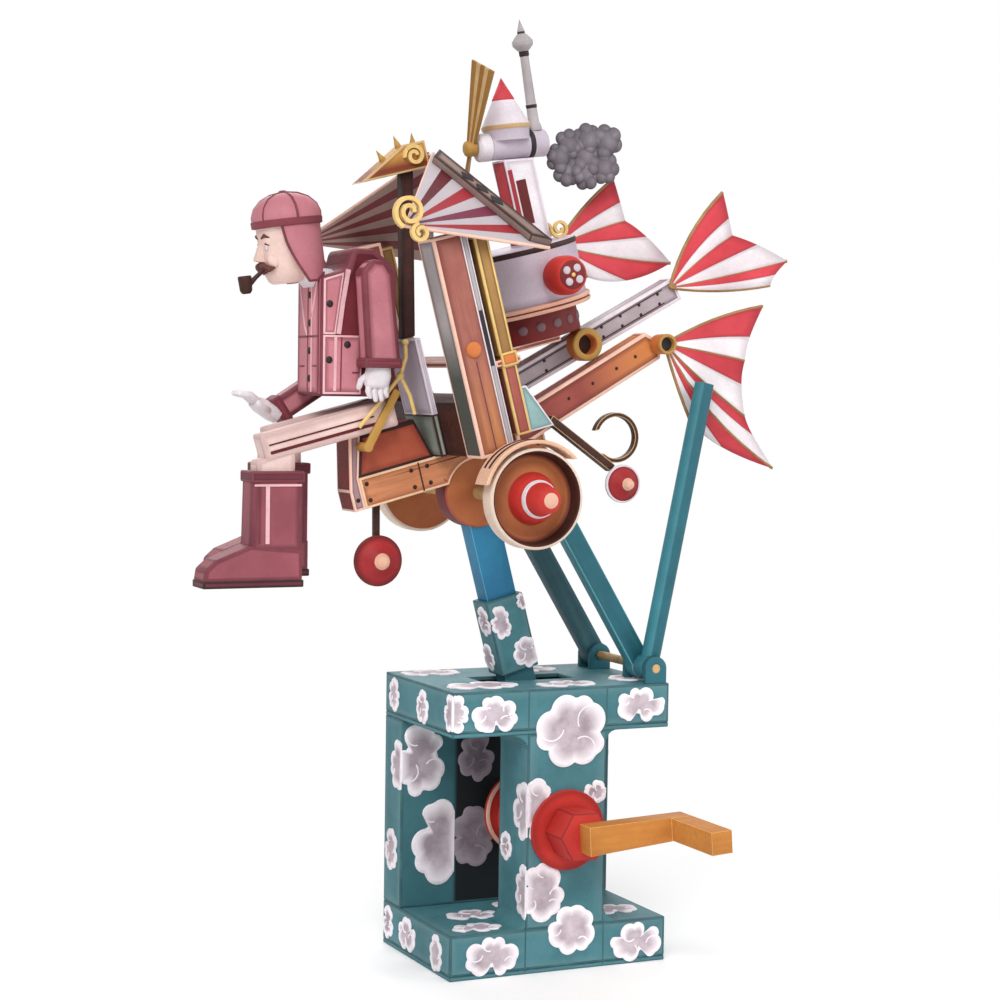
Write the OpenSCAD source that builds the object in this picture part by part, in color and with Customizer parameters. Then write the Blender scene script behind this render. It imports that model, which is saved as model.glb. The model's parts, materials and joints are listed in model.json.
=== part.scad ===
// Hand-cranked paper automaton: a pilot in a steam flying machine that
// rides on a rod and two struts above a cloud-printed card box.
// Millimetres, +Z up, origin at the centre of the underside of the box.
// The crank is on the -Y side and the machine flies towards -X.

/* [Box] */
// Width of the box along X
base_w = 80; // [76:1:90]
// Depth of the box along Y
base_d = 58; // [56:1:64]
// Height of the whole box
base_h = 95; // [88:1:110]
// Height of the bottom and top slabs
slab_h = 15; // [10:1:18]
// Thickness of the box card
card = 1.5; // [1:0.1:2]
// Width of the front column
column_w = 29; // [26:1:36]
// Gap from the front column to the crank web
web_gap = 0.5; // [0.3:0.1:1]
// Depth of the back wall
back_d = 15; // [12:1:17]

/* [Crank] */
// Height of the crank shaft above the table
shaft_z = 47.5; // [46:0.5:52]
// Diameter of the crank shaft
shaft_d = 8; // [6:0.5:10]
// Radius of the crank pin about the shaft
crank_r = 7; // [5:0.5:8]
// Diameter of the crank webs
web_d = 28; // [26:1:32]
// Thickness of a crank web
web_t = 2; // [1.5:0.5:3]
// Diameter of the crank pin
pin_d = 4; // [3:0.5:5]
// Diameter of the bearing flange on the column
flange_d = 27; // [22:1:29]
// Thickness of the bearing flange
flange_t = 1.5; // [1:0.5:3]
// Width over corners of the six-sided collar
collar_d = 18; // [14:1:20]
// Length of the collar
collar_l = 12; // [8:1:14]
// Side of the square crank bar
bar = 7.5; // [6:0.5:9]
// Height of the crank arm at the shaft
arm_root_h = 9.5; // [9:0.5:11]
// Distance from the shaft to the middle of the grip
arm_l = 32; // [30:1:38]
// Length of the grip past the arm
grip_l = 26; // [15:1:40]
// Tilt of the crank arm above level
arm_tilt = 4; // [0:1:45]
// Outer diameter of the shaft bushes
bush_d = 16; // [14:1:20]
// Length of a shaft bush
bush_l = 3.5; // [2:0.5:5]

/* [Rod and struts] */
// Place of the wheel axle along X
axle_x = -21; // [-24:0.5:-18]
// Height of the wheel axle above the box
axle_lift = 64; // [60:1:70]
// Nose-down pitch of the machine
pitch = 15; // [12:0.5:18]
// Width of the main rod in the plane of motion
rod_w = 11; // [9:0.5:12]
// Depth of the main rod along Y
rod_d = 8; // [7:0.5:9]
// Wall of the rod sleeve
sleeve_t = 1.5; // [1:0.5:2]
// Length of the rod sleeve
sleeve_l = 26; // [15:1:30]
// Distance from the axle to the top of the sleeve
sleeve_drop = 37; // [30:1:38]
// Radius of the drum at the top of the rod
boss_r = 11.3; // [9:0.1:12]
// Length of the flat tongue at the foot of the rod
tongue_l = 20; // [18:1:24]
// Thickness of the tongue and its eye on the crank pin
eye_t = 3; // [2:0.5:4]
// Travel of the rod to each side in its slot
rod_sway = 8; // [7.5:0.5:10]
// Distance from the strut hinge to the right edge of the box
hinge_inset = 5; // [4:0.5:8]
// Height of the strut hinge above the box
hinge_lift = 5; // [4.9:0.1:7]
// Place of the strut pivot behind the axle
pivot_u = 20.4; // [18:0.2:23]
// Depth of the strut pivot below the axle
pivot_drop = 9.2; // [8:0.2:11]
// Depth of a strut along Y
strut_d = 5.5; // [4.5:0.5:6]
// Width of a strut
strut_w = 7; // [6:0.5:8]
// Diameter of the hinge pins
hinge_pin_d = 3; // [2:0.5:4]
// Radius of the hinge eyes
hinge_eye_r = 4.3; // [3.5:0.1:4.5]
// Outer diameter of the tail rod
tail_rod_d = 6.5; // [5:0.5:7]
// Wall of the tail rod
tail_rod_t = 1; // [0.8:0.1:1.5]
// Length of the tail rod past the fan pin
tail_rod_over = 7; // [5:1:9]

/* [Machine frame] */
// Thickness of the machine's thin card
ply = 1.2; // [0.8:0.1:1.5]
// Length of the keel in front of the axle
keel_front = 41; // [40:1:45]
// Length of the keel behind the axle
keel_back = 28; // [27:1:32]
// Height of the keel's underside above the axle
keel_z = 5.5; // [5:0.5:7]
// Height of the keel
keel_h = 10.5; // [9.5:0.5:11.5]
// Thickness of the keel along Y
keel_d = 12; // [10:1:14]
// Height of the dark cross beam
beam_h = 18; // [17:1:20]
// Width of the corner posts
post_w = 12; // [10:1:13]
// Distance from the middle plane to the outside of the posts
cabin_half = 42; // [40:1:44]
// Height of the post tops above the axle
post_top = 87.5; // [84:0.5:88]
// Width of the gold rear posts
rear_post_w = 5; // [4:0.5:6]
// Height of the deck's underside above the axle
deck_z = 43; // [42:0.5:44]
// Thickness of the deck
deck_t = 2; // [1:0.5:2.5]
// Width of the seat back
seat_back_w = 24; // [18:1:28]
// Thickness of the seat back
seat_back_t = 2; // [1.5:0.5:3]
// Height of the top of the seat back above the axle
seat_back_top = 56; // [52:1:60]
// Height of the seat above the keel
seat_h = 14; // [13:0.5:15]
// Width of the roof strut
roof_strut_w = 4.5; // [3:0.5:6]

/* [Wheels] */
// Diameter of the axle
axle_d = 5; // [4:0.5:6]
// Radius of the main wheels
wheel_r = 16.3; // [15:0.1:17]
// Width of the main wheels
wheel_w = 7; // [5:0.5:8]
// Radial depth of the wheel rim
rim_t = 1.7; // [1:0.1:2.5]
// Length of the wheel hub from the middle of the wheel
hub_l = 14; // [10:0.5:16]
// Radius of the hub at its root
hub_r = 8.5; // [7:0.5:9]
// Gap between a wheel and its arch
arch_gap = 1.4; // [1:0.1:3]
// Radius of the nose wheel
nose_r = 8.5; // [7:0.5:9]
// Radius of the tail wheel
tail_r = 6.5; // [5:0.5:7]

/* [Roof and engine] */
// Height of the roof ridge above the axle
ridge_z = 112.5; // [111:0.5:114]
// Distance from the middle plane to the eaves
eave_half = 46; // [44:1:48]
// Place of the boiler behind the axle
boiler_u = 33; // [32:0.5:36]
// Radius of the boiler
boiler_r = 22.5; // [21:0.5:24]
// Height of the top of the boiler above the axle
boiler_top = 76; // [72:1:78]
// Radius of the boiler's foot
boiler_foot_r = 18; // [16:1:20]
// Height of the boiler's foot
boiler_foot_h = 9; // [6:0.5:12]
// Length of the boiler knob
knob_l = 13; // [8:1:16]
// Radius of the boiler knob
knob_r = 6.5; // [5:0.5:8]
// Radius of the engine
engine_r = 4.6; // [4:0.1:5]
// Length of the engine
engine_l = 25; // [24:0.5:28]
// Height of the engine's cone
cone_h = 16; // [12:1:20]
// Radius of the engine's cone
cone_r = 8; // [7:0.5:8.5]
// Height of the chimney
chimney_h = 26; // [20:1:30]
// Radius of the chimney
chimney_r = 2.6; // [2:0.1:3]
// Length of a propeller blade
blade_l = 31; // [24:1:32]

/* [Tail] */
// Length of the upper boom behind the axle
boom_l = 90; // [85:1:94]
// Height of the tip of the upper boom above the axle
boom_tip = 49; // [47:0.5:52]
// Thickness of the upper boom along Y
boom_d = 8; // [6:0.5:9]
// Radius of the ring on the upper boom
ring_r = 5.5; // [4:0.5:5.5]
// Length of the ring
ring_l = 5; // [3:0.5:7]
// Place of the tail fan's hinge behind the axle
fan_u = 73.3; // [70:0.1:76]
// Height of the tail fan's hinge above the axle
fan_w = 33; // [30:0.5:35]
// Radius of the tail fan's knuckle
fan_knuckle_r = 3.5; // [3:0.5:4]
// Radius of the scroll behind the tail wheel
scroll_r = 8.5; // [7:0.5:9]

/* [Pilot] */
// Width of the pilot's body
torso_w = 24; // [20:1:26]
// Height of the pilot's body
torso_h = 48; // [44:1:50]
// Depth of the pilot's body
torso_d = 26; // [22:1:28]
// Length of a thigh
thigh_l = 47; // [44:1:50]
// Thickness of a thigh
thigh_t = 9; // [8:0.5:10]
// Width of a leg
leg_w = 8; // [6:0.5:9]
// Width of an arm
arm_w = 12; // [10:1:13]
// Thickness of an arm
arm_d = 8; // [6:0.5:9]
// Length of the upper arm
sleeve_arm_l = 34; // [30:1:36]
// Length of a boot's foot
foot_l = 33; // [28:1:36]
// Height of a boot
boot_h = 37; // [32:1:38]
// Width of a boot
boot_w = 11; // [9:1:12]
// Radius of the head
head_r = 10.5; // [9.5:0.5:12]
// Height of the face below the cap
face_h = 17; // [14:1:19]
// Height of the cap
cap_h = 11.5; // [9:0.5:15]

/* [Fits] */
// Radial clearance of a running fit
run_fit = 0.05; // [0.03:0.01:0.1]
// Radial clearance of a glued pin
glue_fit = 0.02; // [0.01:0.01:0.05]
// Gap between pieces that must not touch
gap = 0.3; // [0.2:0.05:0.5]
// Gap between each half of the crank pin and the rod's eye
pin_gap = 0.4; // [0.3:0.05:0.6]
// Radial play of the fan's pin in the tail rod
fan_pin_play = 0.8; // [0.75:0.05:1]

/* [Hidden] */
$fn = 64;

// Overshoot of a cutter past the face that it cuts
cut = 1;
// Clearance of a hole that only lets a part through
through = 1;
// Overhang of a pin past the last part on it
pin_over = 0.5;
// Radius of the pins of the small wheels and the tail fan
small_pin_r = 1.2;

// Places that the box, the crank and the machine share
axle_z = base_h + axle_lift;
rod_l = (axle_z - shaft_z) / cos(pitch);
shaft_x = axle_x + (axle_z - shaft_z) * tan(pitch) - crank_r;
shaft_r = shaft_d / 2;
front_y = -base_d / 2;
back_y = base_d / 2;
top_z = base_h - slab_h;
web_y = rod_d / 2 + web_gap;
column_back = -web_y - web_t - web_gap;
wall_front = back_y - back_d;
sleeve_w = rod_w + 2 * sleeve_t;
sleeve_d = rod_d + 2 * sleeve_t;
slot_x = axle_x + (axle_lift + slab_h / 2) * tan(pitch);
slot_l = sleeve_w / cos(pitch) + slab_h * tan(pitch) + 2 * rod_sway;
slot_w = sleeve_d + 2 * through;

// Hinge of the struts and the tail rod, from the near edge of the box inwards
hinge_x = base_w / 2 - hinge_inset;
hinge_z = base_h + hinge_lift;
hinge_pin_r = hinge_pin_d / 2;
lug_t = 1.9;
lug_half = 4;
lug_edge = 0.15;
strut_gap = 0.4;
tail_rod_r = tail_rod_d / 2;
tail_rod_y = base_d / 2 - lug_edge - lug_t - gap - tail_rod_r;
strut_y = tail_rod_y - tail_rod_r - strut_gap - strut_d / 2;
near_lug_y = -tail_rod_y - tail_rod_r - gap - lug_t;
inner_lug_y = strut_y - strut_d / 2 - gap - lug_t;
far_lug_y = strut_y + strut_d / 2 + gap;

// Plane coordinates: u runs back along the machine and w runs up from its axle
function world_x(u, w) = axle_x + u * cos(pitch) - w * sin(pitch);
function world_z(u, w) = axle_z + u * sin(pitch) + w * cos(pitch);
pivot_x = world_x(pivot_u, -pivot_drop);
pivot_z = world_z(pivot_u, -pivot_drop);
strut_l = norm([pivot_x - hinge_x, pivot_z - hinge_z]);
strut_angle = atan2(pivot_z - hinge_z, pivot_x - hinge_x);

// Machine heights and lengths worked out from the driving sizes
keel_top = keel_z + keel_h;
beam_top = keel_top + beam_h;
post_u = -post_w;
post_inner = cabin_half - post_w;
deck_top = deck_z + deck_t;
wheel_in = cabin_half + 1;
wheel_out = wheel_in + wheel_w;
hub_out = wheel_in + wheel_w / 2 + hub_l;
hub_cap = 1.5;
axle_half = hub_out - hub_cap - gap;
seat_top = keel_top + seat_h;
seat_inset = 11.5;
seat_u = seat_inset - keel_front;
upper_near = gap - keel_d / 2;
lower_near = -14;
lower_far = -keel_d / 2;

// Tail fan's plane, its pin and the tail rod that moves it
fan_y = -tail_rod_y + tail_rod_r + gap;
fan_pin_du = 6.5;
fan_pin_dw = -22.5;
tail_pin_x = world_x(fan_u + fan_pin_du, fan_w + fan_pin_dw);
tail_pin_z = world_z(fan_u + fan_pin_du, fan_w + fan_pin_dw);
tail_rod_angle = atan2(tail_pin_z - hinge_z, tail_pin_x - hinge_x);
tail_rod_l = norm([tail_pin_x - hinge_x, tail_pin_z - hinge_z]) + tail_rod_over;

// Cylinder along Y from y0 to y1, centred on a point of the XZ plane
module bar_y(x, z, r, y0, y1) {
  translate([x, y1, z]) rotate([90, 0, 0]) cylinder(r = r, h = y1 - y0);
}

// Plate cut to an XZ outline, from y0 to y1
module plate(points, y0, y1) {
  translate([0, y1, 0]) rotate([90, 0, 0]) linear_extrude(y1 - y0) polygon(points);
}

// Box given by its two corners
module block(low, high) {
  translate(low) cube(high - low);
}

// Square bar in the XZ plane that starts at a point and leaves at an angle
module beam(x, z, angle, length, width, y0, y1) {
  translate([x, 0, z]) rotate([0, -angle, 0]) block([0, y0, -width / 2], [length, y1, width / 2]);
}

// Flat prism: a planar outline in space, thickened along a vector
module prism(points, v) {
  n = len(points);
  top = [for (p = points) p + v];
  side = [for (i = [0:n - 1]) each [[n + i, (i + 1) % n, i], [n + i, n + (i + 1) % n, (i + 1) % n]]];
  floor_faces = [for (i = [1:n - 2]) [i, i + 1, 0]];
  top_faces = [for (i = [1:n - 2]) [n + i + 1, n + i, n]];
  polyhedron(concat(points, top), concat(side, floor_faces, top_faces));
}

// Scalloped edge of a fan about its apex: ribs are [angle, length], and the edge dips between them
function rib_tip(rib) = rib[1] * [cos(rib[0]), sin(rib[0])];
function fan_edge(apex, ribs, dip) = [
  for (i = [0:len(ribs) - 1]) each [
    apex + rib_tip(ribs[i]),
    if (i < len(ribs) - 1) apex + dip * (rib_tip(ribs[i]) + rib_tip(ribs[i + 1])) / 2
  ]
];

// The frame of the flying machine, with its origin on the axle
module machine() {
  translate([axle_x, 0, axle_z]) rotate([0, -pitch, 0]) children();
}

// The upright frame of the pilot, with its origin on the seat
module upright() {
  machine() translate([seat_u, 0, seat_top]) rotate([0, pitch, 0]) children();
}

// A piece and its mirror image on the far side
module pair() {
  children();
  mirror([0, 1, 0]) children();
}

// Box
module slab_shell(z0, z1) {
  difference() {
    block([-base_w / 2, front_y, z0], [base_w / 2, back_y, z1]);
    block([card - base_w / 2, front_y + card, z0 - cut], [base_w / 2 - card, back_y - card, z1 - card]);
  }
}

module rod_slot() {
  block([slot_x - slot_l / 2, -slot_w / 2, top_z - cut], [slot_x + slot_l / 2, slot_w / 2, base_h + cut]);
}

module wall_tube(x0, x1, y0, y1) {
  difference() {
    block([x0, y0, slab_h], [x1, y1, top_z]);
    block([x0 + card, y0 + card, slab_h - cut], [x1 - card, y1 - card, top_z + cut]);
  }
}

module base_plate() {
  color("darkcyan") block([-base_w / 2, front_y, 0], [base_w / 2, back_y, card]);
}

module bottom_box() {
  color("cadetblue") slab_shell(card, slab_h);
}

module top_floor() {
  color("darkcyan") difference() {
    block([-base_w / 2, front_y, top_z], [base_w / 2, back_y, top_z + card]);
    rod_slot();
  }
}

module top_box() {
  color("cadetblue") difference() {
    slab_shell(top_z + card, base_h);
    rod_slot();
  }
}

module front_column() {
  color("cadetblue") difference() {
    wall_tube(shaft_x - column_w / 2, shaft_x + column_w / 2, front_y, column_back);
    bar_y(shaft_x, shaft_z, shaft_r + through, front_y - cut, column_back + cut);
  }
}

module back_wall() {
  color("cadetblue") difference() {
    wall_tube(-base_w / 2, base_w / 2, wall_front, back_y);
    bar_y(shaft_x, shaft_z, shaft_r + through, wall_front - cut, wall_front + card + cut);
  }
}

// Bearings
module bearing(r, y0, y1) {
  difference() {
    bar_y(shaft_x, shaft_z, r, y0, y1);
    bar_y(shaft_x, shaft_z, shaft_r + run_fit, y0 - cut, y1 + cut);
  }
}

module front_flange() {
  color("firebrick") bearing(flange_d / 2, front_y - flange_t, front_y);
}

module shaft_bushes() {
  color("burlywood") for (y0 = [column_back - card - bush_l, wall_front + card])
    bearing(bush_d / 2, y0, y0 + bush_l);
}

// Hinge for the struts and the tail rod
module lug(y0) {
  difference() {
    union() {
      block([hinge_x - lug_half, y0, base_h], [hinge_x + lug_half, y0 + lug_t, hinge_z]);
      bar_y(hinge_x, hinge_z, lug_half, y0, y0 + lug_t);
    }
    bar_y(hinge_x, hinge_z, hinge_pin_r + glue_fit, y0 - cut, y0 + lug_t + cut);
  }
}

module hinge_lugs() {
  color("teal") for (y0 = [near_lug_y, -inner_lug_y - lug_t, inner_lug_y, far_lug_y]) lug(y0);
}

module hinge_pin() {
  color("dimgray") bar_y(hinge_x, hinge_z, hinge_pin_r, near_lug_y, far_lug_y + lug_t + pin_over);
}

// Crank
collar_y = front_y - flange_t - web_gap;

module crank_shaft() {
  color("darkred") bar_y(shaft_x, shaft_z, shaft_r, collar_y, -web_y - web_t);
}

module crank_collar() {
  color("red") translate([shaft_x, collar_y, shaft_z]) rotate([90, 0, 0])
    cylinder(d = collar_d, h = collar_l, $fn = 6);
}

module crank_arm() {
  arm_back = collar_y - collar_l;
  arm_front = arm_back - bar;
  half = bar / 2;
  root_back = 2;
  color("peru") translate([shaft_x, 0, shaft_z]) rotate([0, -arm_tilt, 0]) union() {
    plate([
      [-root_back, -arm_root_h / 2], [arm_l + half, -half], [arm_l + half, half], [-root_back, arm_root_h / 2]
    ], arm_front, arm_back);
    block([arm_l - half, arm_front - grip_l, -half], [arm_l + half, arm_front, half]);
  }
}

module front_web() {
  color("firebrick") {
    bar_y(shaft_x, shaft_z, web_d / 2, -web_y - web_t, -web_y);
    bar_y(shaft_x + crank_r, shaft_z, pin_d / 2, -web_y - web_t, -eye_t / 2 - pin_gap);
  }
}

module rear_web() {
  color("firebrick") {
    bar_y(shaft_x, shaft_z, web_d / 2, web_y, web_y + web_t);
    bar_y(shaft_x + crank_r, shaft_z, pin_d / 2, eye_t / 2 + pin_gap, web_y + web_t);
    bar_y(shaft_x, shaft_z, shaft_r, web_y, wall_front + card + bush_l + pin_over);
  }
}

// Struts: a flat bar with an eye at each end, drawn along its own length
module strut(y) {
  translate([hinge_x, y + strut_d / 2, hinge_z]) rotate([90, 0, 0]) rotate(strut_angle)
    linear_extrude(strut_d) difference() {
      union() {
        translate([0, -strut_w / 2]) square([strut_l, strut_w]);
        for (along = [0, strut_l]) translate([along, 0]) circle(hinge_eye_r);
      }
      circle(hinge_pin_r + run_fit);
      translate([strut_l, 0]) circle(hinge_pin_r + glue_fit);
    }
}

module near_strut() {
  color("darkslategray") strut(-strut_y);
}

module far_strut() {
  color("darkslategray") strut(strut_y);
}

module strut_pin() {
  pin_half = strut_y + strut_d / 2;
  color("dimgray") bar_y(pivot_x, pivot_z, hinge_pin_r, -pin_half, pin_half + pin_over);
}

// Frame of the tail rod, along its tube
module along_tail_rod() {
  translate([hinge_x, -tail_rod_y, hinge_z]) rotate([0, 90 - tail_rod_angle, 0]) children();
}

module tail_rod() {
  near = -tail_rod_y - tail_rod_r;
  far = -tail_rod_y + tail_rod_r;
  solid_l = 2 * hinge_eye_r;
  in_bore = tail_rod_r / 4;
  eye_inset = 0.25;
  color("teal") difference() {
    union() {
      along_tail_rod() cylinder(r = tail_rod_r, h = tail_rod_l);
      bar_y(hinge_x, hinge_z, hinge_eye_r, near + eye_inset, far - eye_inset);
    }
    along_tail_rod() translate([0, 0, solid_l]) cylinder(r = tail_rod_r - tail_rod_t, h = tail_rod_l);
    bar_y(hinge_x, hinge_z, hinge_pin_r + run_fit, near - cut, far + cut);
    bar_y(tail_pin_x, tail_pin_z, small_pin_r + fan_pin_play, in_bore - tail_rod_y, far + cut);
  }
}

// Main rod and axle
module main_rod() {
  tongue_w = 8;
  eye_wall = 3;
  rod_end = rod_l - tongue_l;
  boss_half = keel_d / 2 - 1;
  color("steelblue") machine() difference() {
    union() {
      bar_y(0, 0, boss_r, -boss_half, boss_half);
      block([-rod_w / 2, -rod_d / 2, -rod_end], [rod_w / 2, rod_d / 2, 0]);
      block([-tongue_w / 2, -eye_t / 2, -rod_l], [tongue_w / 2, eye_t / 2, -rod_end]);
      bar_y(0, -rod_l, pin_d / 2 + eye_wall, -eye_t / 2, eye_t / 2);
    }
    bar_y(0, 0, axle_d / 2 + glue_fit, -keel_d, keel_d);
    bar_y(0, -rod_l, pin_d / 2 + run_fit, -eye_t, eye_t);
  }
}

module rod_sleeve() {
  low = -sleeve_drop - sleeve_l;
  high = -sleeve_drop;
  color("lightsteelblue") machine() difference() {
    block([-sleeve_w / 2, -sleeve_d / 2, low], [sleeve_w / 2, sleeve_d / 2, high]);
    block([-rod_w / 2, -rod_d / 2, low - cut], [rod_w / 2, rod_d / 2, high + cut]);
  }
}

module axle() {
  color("maroon") machine() bar_y(0, 0, axle_d / 2, -axle_half, axle_half);
}

// Frame of the machine
module keel() {
  lug_y = strut_y - strut_d / 2 - gap;
  low = -pivot_drop;
  color("peru") machine() difference() {
    union() {
      block([-keel_front, -keel_d / 2, keel_z], [keel_back, keel_d / 2, keel_top]);
      block([pivot_u - hinge_eye_r, -lug_y, low], [pivot_u + hinge_eye_r, lug_y, keel_z]);
      bar_y(pivot_u, low, hinge_eye_r, -lug_y, lug_y);
    }
    bar_y(0, 0, boss_r + gap, -keel_d, keel_d);
    bar_y(pivot_u, low, hinge_pin_r + run_fit, -lug_y - cut, lug_y + cut);
  }
}

beam_back = 1;

module cross_beam() {
  color("darkslategray") machine()
    block([beam_back - post_w, -post_inner, keel_top], [beam_back, post_inner, beam_top]);
}

module seat_box() {
  front = -keel_front;
  lean = 4;
  front_post_w = 4;
  knuckle_h = 7;
  seat_back_u = beam_back - post_w - seat_back_t - pin_over;
  half = keel_d / 2;
  color("indianred") machine() plate([
    [front, keel_top], [front + lean, seat_top], [seat_back_u - lean, seat_top], [seat_back_u, keel_top]
  ], -half, half);
  color("burlywood") machine() plate([
    [front - front_post_w, keel_z], [front, keel_z], [front, keel_top], [front + lean, seat_top],
    [front + lean - front_post_w, seat_top], [front - front_post_w, keel_z + knuckle_h]
  ], -half, half);
}

module seat_back() {
  rear = beam_back - post_w;
  color("thistle") machine()
    block([rear - seat_back_t, -seat_back_w / 2, keel_top], [rear, seat_back_w / 2, seat_back_top]);
}

beak_z = ridge_z - 3.5;

module roof_strut() {
  lean = 13.5;
  half = 2;
  run = (beak_z - seat_back_top) * tan(lean);
  overhang = 1;
  u0 = post_u - overhang;
  u1 = u0 + roof_strut_w;
  color("saddlebrown") machine()
    plate([[u0, seat_back_top], [u1, seat_back_top], [u1 + run, beak_z], [u0 + run, beak_z]], -half, half);
}

module main_posts() {
  color("sienna") machine() pair() difference() {
    block([post_u, -cabin_half, keel_top], [0, -post_inner, post_top]);
    block([post_u + ply, ply - cabin_half, keel_top - cut], [-ply, -post_inner - ply, post_top + cut]);
  }
}

module rear_posts() {
  u0 = 2;
  u1 = u0 + rear_post_w;
  y1 = rear_post_w - cabin_half;
  roof_drop = 2.5;
  arch_rise = 4;
  color("goldenrod") machine() pair() block([u0, -cabin_half, deck_top], [u1, y1, post_top - roof_drop]);
  color("sienna") machine() pair() block([u0, -cabin_half, keel_top + arch_rise], [u1, y1, deck_z]);
}

module deck() {
  side_l = 9;
  spine_half = 14;
  spine_end = boiler_u + 5;
  color("sienna") machine() translate([0, 0, deck_z]) linear_extrude(deck_t) union() {
    translate([0, -cabin_half]) square([side_l, 2 * cabin_half]);
    translate([0, -spine_half]) square([spine_end, 2 * spine_half]);
  }
}

// Boiler
foot_top = deck_top + boiler_foot_h;

module boiler() {
  hoop_h = 2.5;
  hoop_r = boiler_r + 1;
  foot_in = boiler_foot_r - ply;
  drum_in = boiler_r - ply;
  color("plum") machine() translate([boiler_u, 0, 0]) rotate_extrude() polygon([
    [foot_in, deck_top], [boiler_foot_r, deck_top], [boiler_foot_r, foot_top], [hoop_r, foot_top],
    [hoop_r, foot_top + hoop_h], [boiler_r, foot_top + hoop_h], [boiler_r, boiler_top], [0, boiler_top],
    [0, boiler_top - ply], [drum_in, boiler_top - ply], [drum_in, foot_top + ply], [foot_in, foot_top + ply]
  ]);
}

module boiler_knob() {
  knob_shift = 4;
  face = -boiler_r - gap;
  color("firebrick") machine()
    bar_y(boiler_u + knob_shift, (foot_top + boiler_top) / 2, knob_r, face - knob_l, face);
}

// Roof: two striped triangles that lean against the ridge
ridge = [12.6, -1, ridge_z];
front_eave = [-22, -eave_half, post_top + 5.5];
rear_eave = [25, -eave_half, post_top - 12];
roof_cross = cross(front_eave - ridge, rear_eave - ridge);
roof_up = roof_cross / norm(roof_cross);

module roof_panels() {
  color("indianred") machine() pair() prism([ridge, rear_eave, front_eave], roof_up * ply);
}

module roof_spars() {
  spar_w = 6;
  spar_t = 2.5;
  end_l = 4;
  along = (rear_eave - ridge) / norm(rear_eave - ridge);
  inward = cross(along, roof_up) * spar_w;
  top = ridge + roof_up * ply + along * end_l / 2;
  foot = rear_eave + roof_up * ply;
  color("rosybrown") machine() pair()
    prism([top, foot, foot + inward - along * end_l, top + inward + along * end_l], roof_up * spar_t);
}

module ridge_beak() {
  beak_u = -16;
  beak_end = 9.5;
  brow_u = 2;
  beak_h = 9;
  half = 4.5;
  color("gold") machine() plate([
    [beak_u, beak_z], [beak_end, beak_z], [beak_end, beak_z + beak_h], [brow_u, beak_z + beak_h]
  ], -half, half);
}

// Engine
engine_tilt = 7.5;
engine_u = 29.5;
engine_w = ridge_z - 1;

// Frame along the engine's axis, from its front face
module on_engine() {
  machine() translate([engine_u, 0, engine_w]) rotate([0, engine_tilt, 0]) children();
}

module pylon() {
  u0 = boiler_u + 3;
  u1 = u0 + 11;
  half = 5;
  top = engine_w - engine_r - gap;
  color("white") machine() plate([
    [u0, boiler_top], [u1, boiler_top],
    [u1, top - (u1 - engine_u) * tan(engine_tilt)], [u0, top - (u0 - engine_u) * tan(engine_tilt)]
  ], -half, half);
}

module engine() {
  cone_u = engine_l - 2 * chimney_r - gap - cone_r;
  tip_r = 0.5;
  band_top = engine_r + 2;
  color("lavender") on_engine() rotate([0, 90, 0]) cylinder(r = engine_r, h = engine_l);
  color("tan") on_engine() translate([cone_u, 0, 0]) cylinder(r = cone_r, h = band_top);
  color("crimson") on_engine() translate([cone_u, 0, band_top]) cylinder(r1 = cone_r, r2 = tip_r, h = cone_h);
}

module chimney() {
  funnel_h = 5;
  finial_h = 6;
  neck_r = chimney_r - 0.4;
  lip_r = chimney_r + 1.2;
  finial_r = 1.6;
  finial_tip = 1;
  lift = engine_r + gap;
  color("gainsboro") on_engine() translate([engine_l - chimney_r, 0, lift]) {
    cylinder(r1 = chimney_r, r2 = neck_r, h = chimney_h);
    translate([0, 0, chimney_h]) cylinder(r1 = neck_r, r2 = lip_r, h = funnel_h);
    translate([0, 0, chimney_h + funnel_h]) cylinder(r1 = finial_r, r2 = finial_tip, h = finial_h);
  }
}

module smoke_puff() {
  // Each lobe is its distance behind the engine, its height and its radius
  lobes = [
    [5.5, -5.5, 5.2], [9.5, -1.3, 5.5], [17, -0.3, 6], [24, -1.7, 6.5],
    [22.2, -10, 6], [15, -11.9, 5.5], [8, -10.2, 5.5]
  ];
  half = 1;
  color("gray") on_engine() for (lobe = lobes)
    bar_y(engine_l + lobe[0], lobe[1], lobe[2], -half, half);
}

// Propeller
module propeller() {
  boss_d = 5.2;
  boss_l = 4;
  root_half = 1.6;
  tip_half = 4;
  tip_cut = 2;
  blade_turn = 33;
  blade_pitch = 38;
  color("goldenrod") on_engine() {
    translate([-gap - boss_l, 0, 0]) rotate([0, 90, 0]) cylinder(d = boss_d, h = boss_l);
    for (turn = [0, 180]) translate([-gap - boss_l / 2, 0, 0])
      rotate([blade_turn + turn, 0, 0]) rotate([0, 0, blade_pitch]) rotate([90, 0, 90])
      translate([0, 0, -ply / 2]) linear_extrude(ply) polygon([
        [-root_half, 0], [root_half, 0], [tip_half, blade_l - tip_cut], [tip_half - tip_cut, blade_l],
        [-tip_half, blade_l - tip_cut]
      ]);
  }
}

// Tail
module upper_boom() {
  root_low = keel_top + 7;
  root_high = beam_top - 2.7;
  tip_half = 4;
  tip_lean = 1;
  ring_u = 49;
  ring_w = 39;
  ring_wall = 1.6;
  color("thistle") machine() plate([
    [beam_back, root_low], [boom_l + tip_lean, boom_tip - tip_half],
    [boom_l - tip_lean, boom_tip + tip_half], [beam_back, root_high]
  ], upper_near, upper_near + boom_d);
  color("goldenrod") machine() difference() {
    bar_y(ring_u, ring_w, ring_r, upper_near - ring_l, upper_near);
    bar_y(ring_u, ring_w, ring_r - ring_wall, upper_near - ring_l - cut, upper_near);
  }
}

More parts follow.
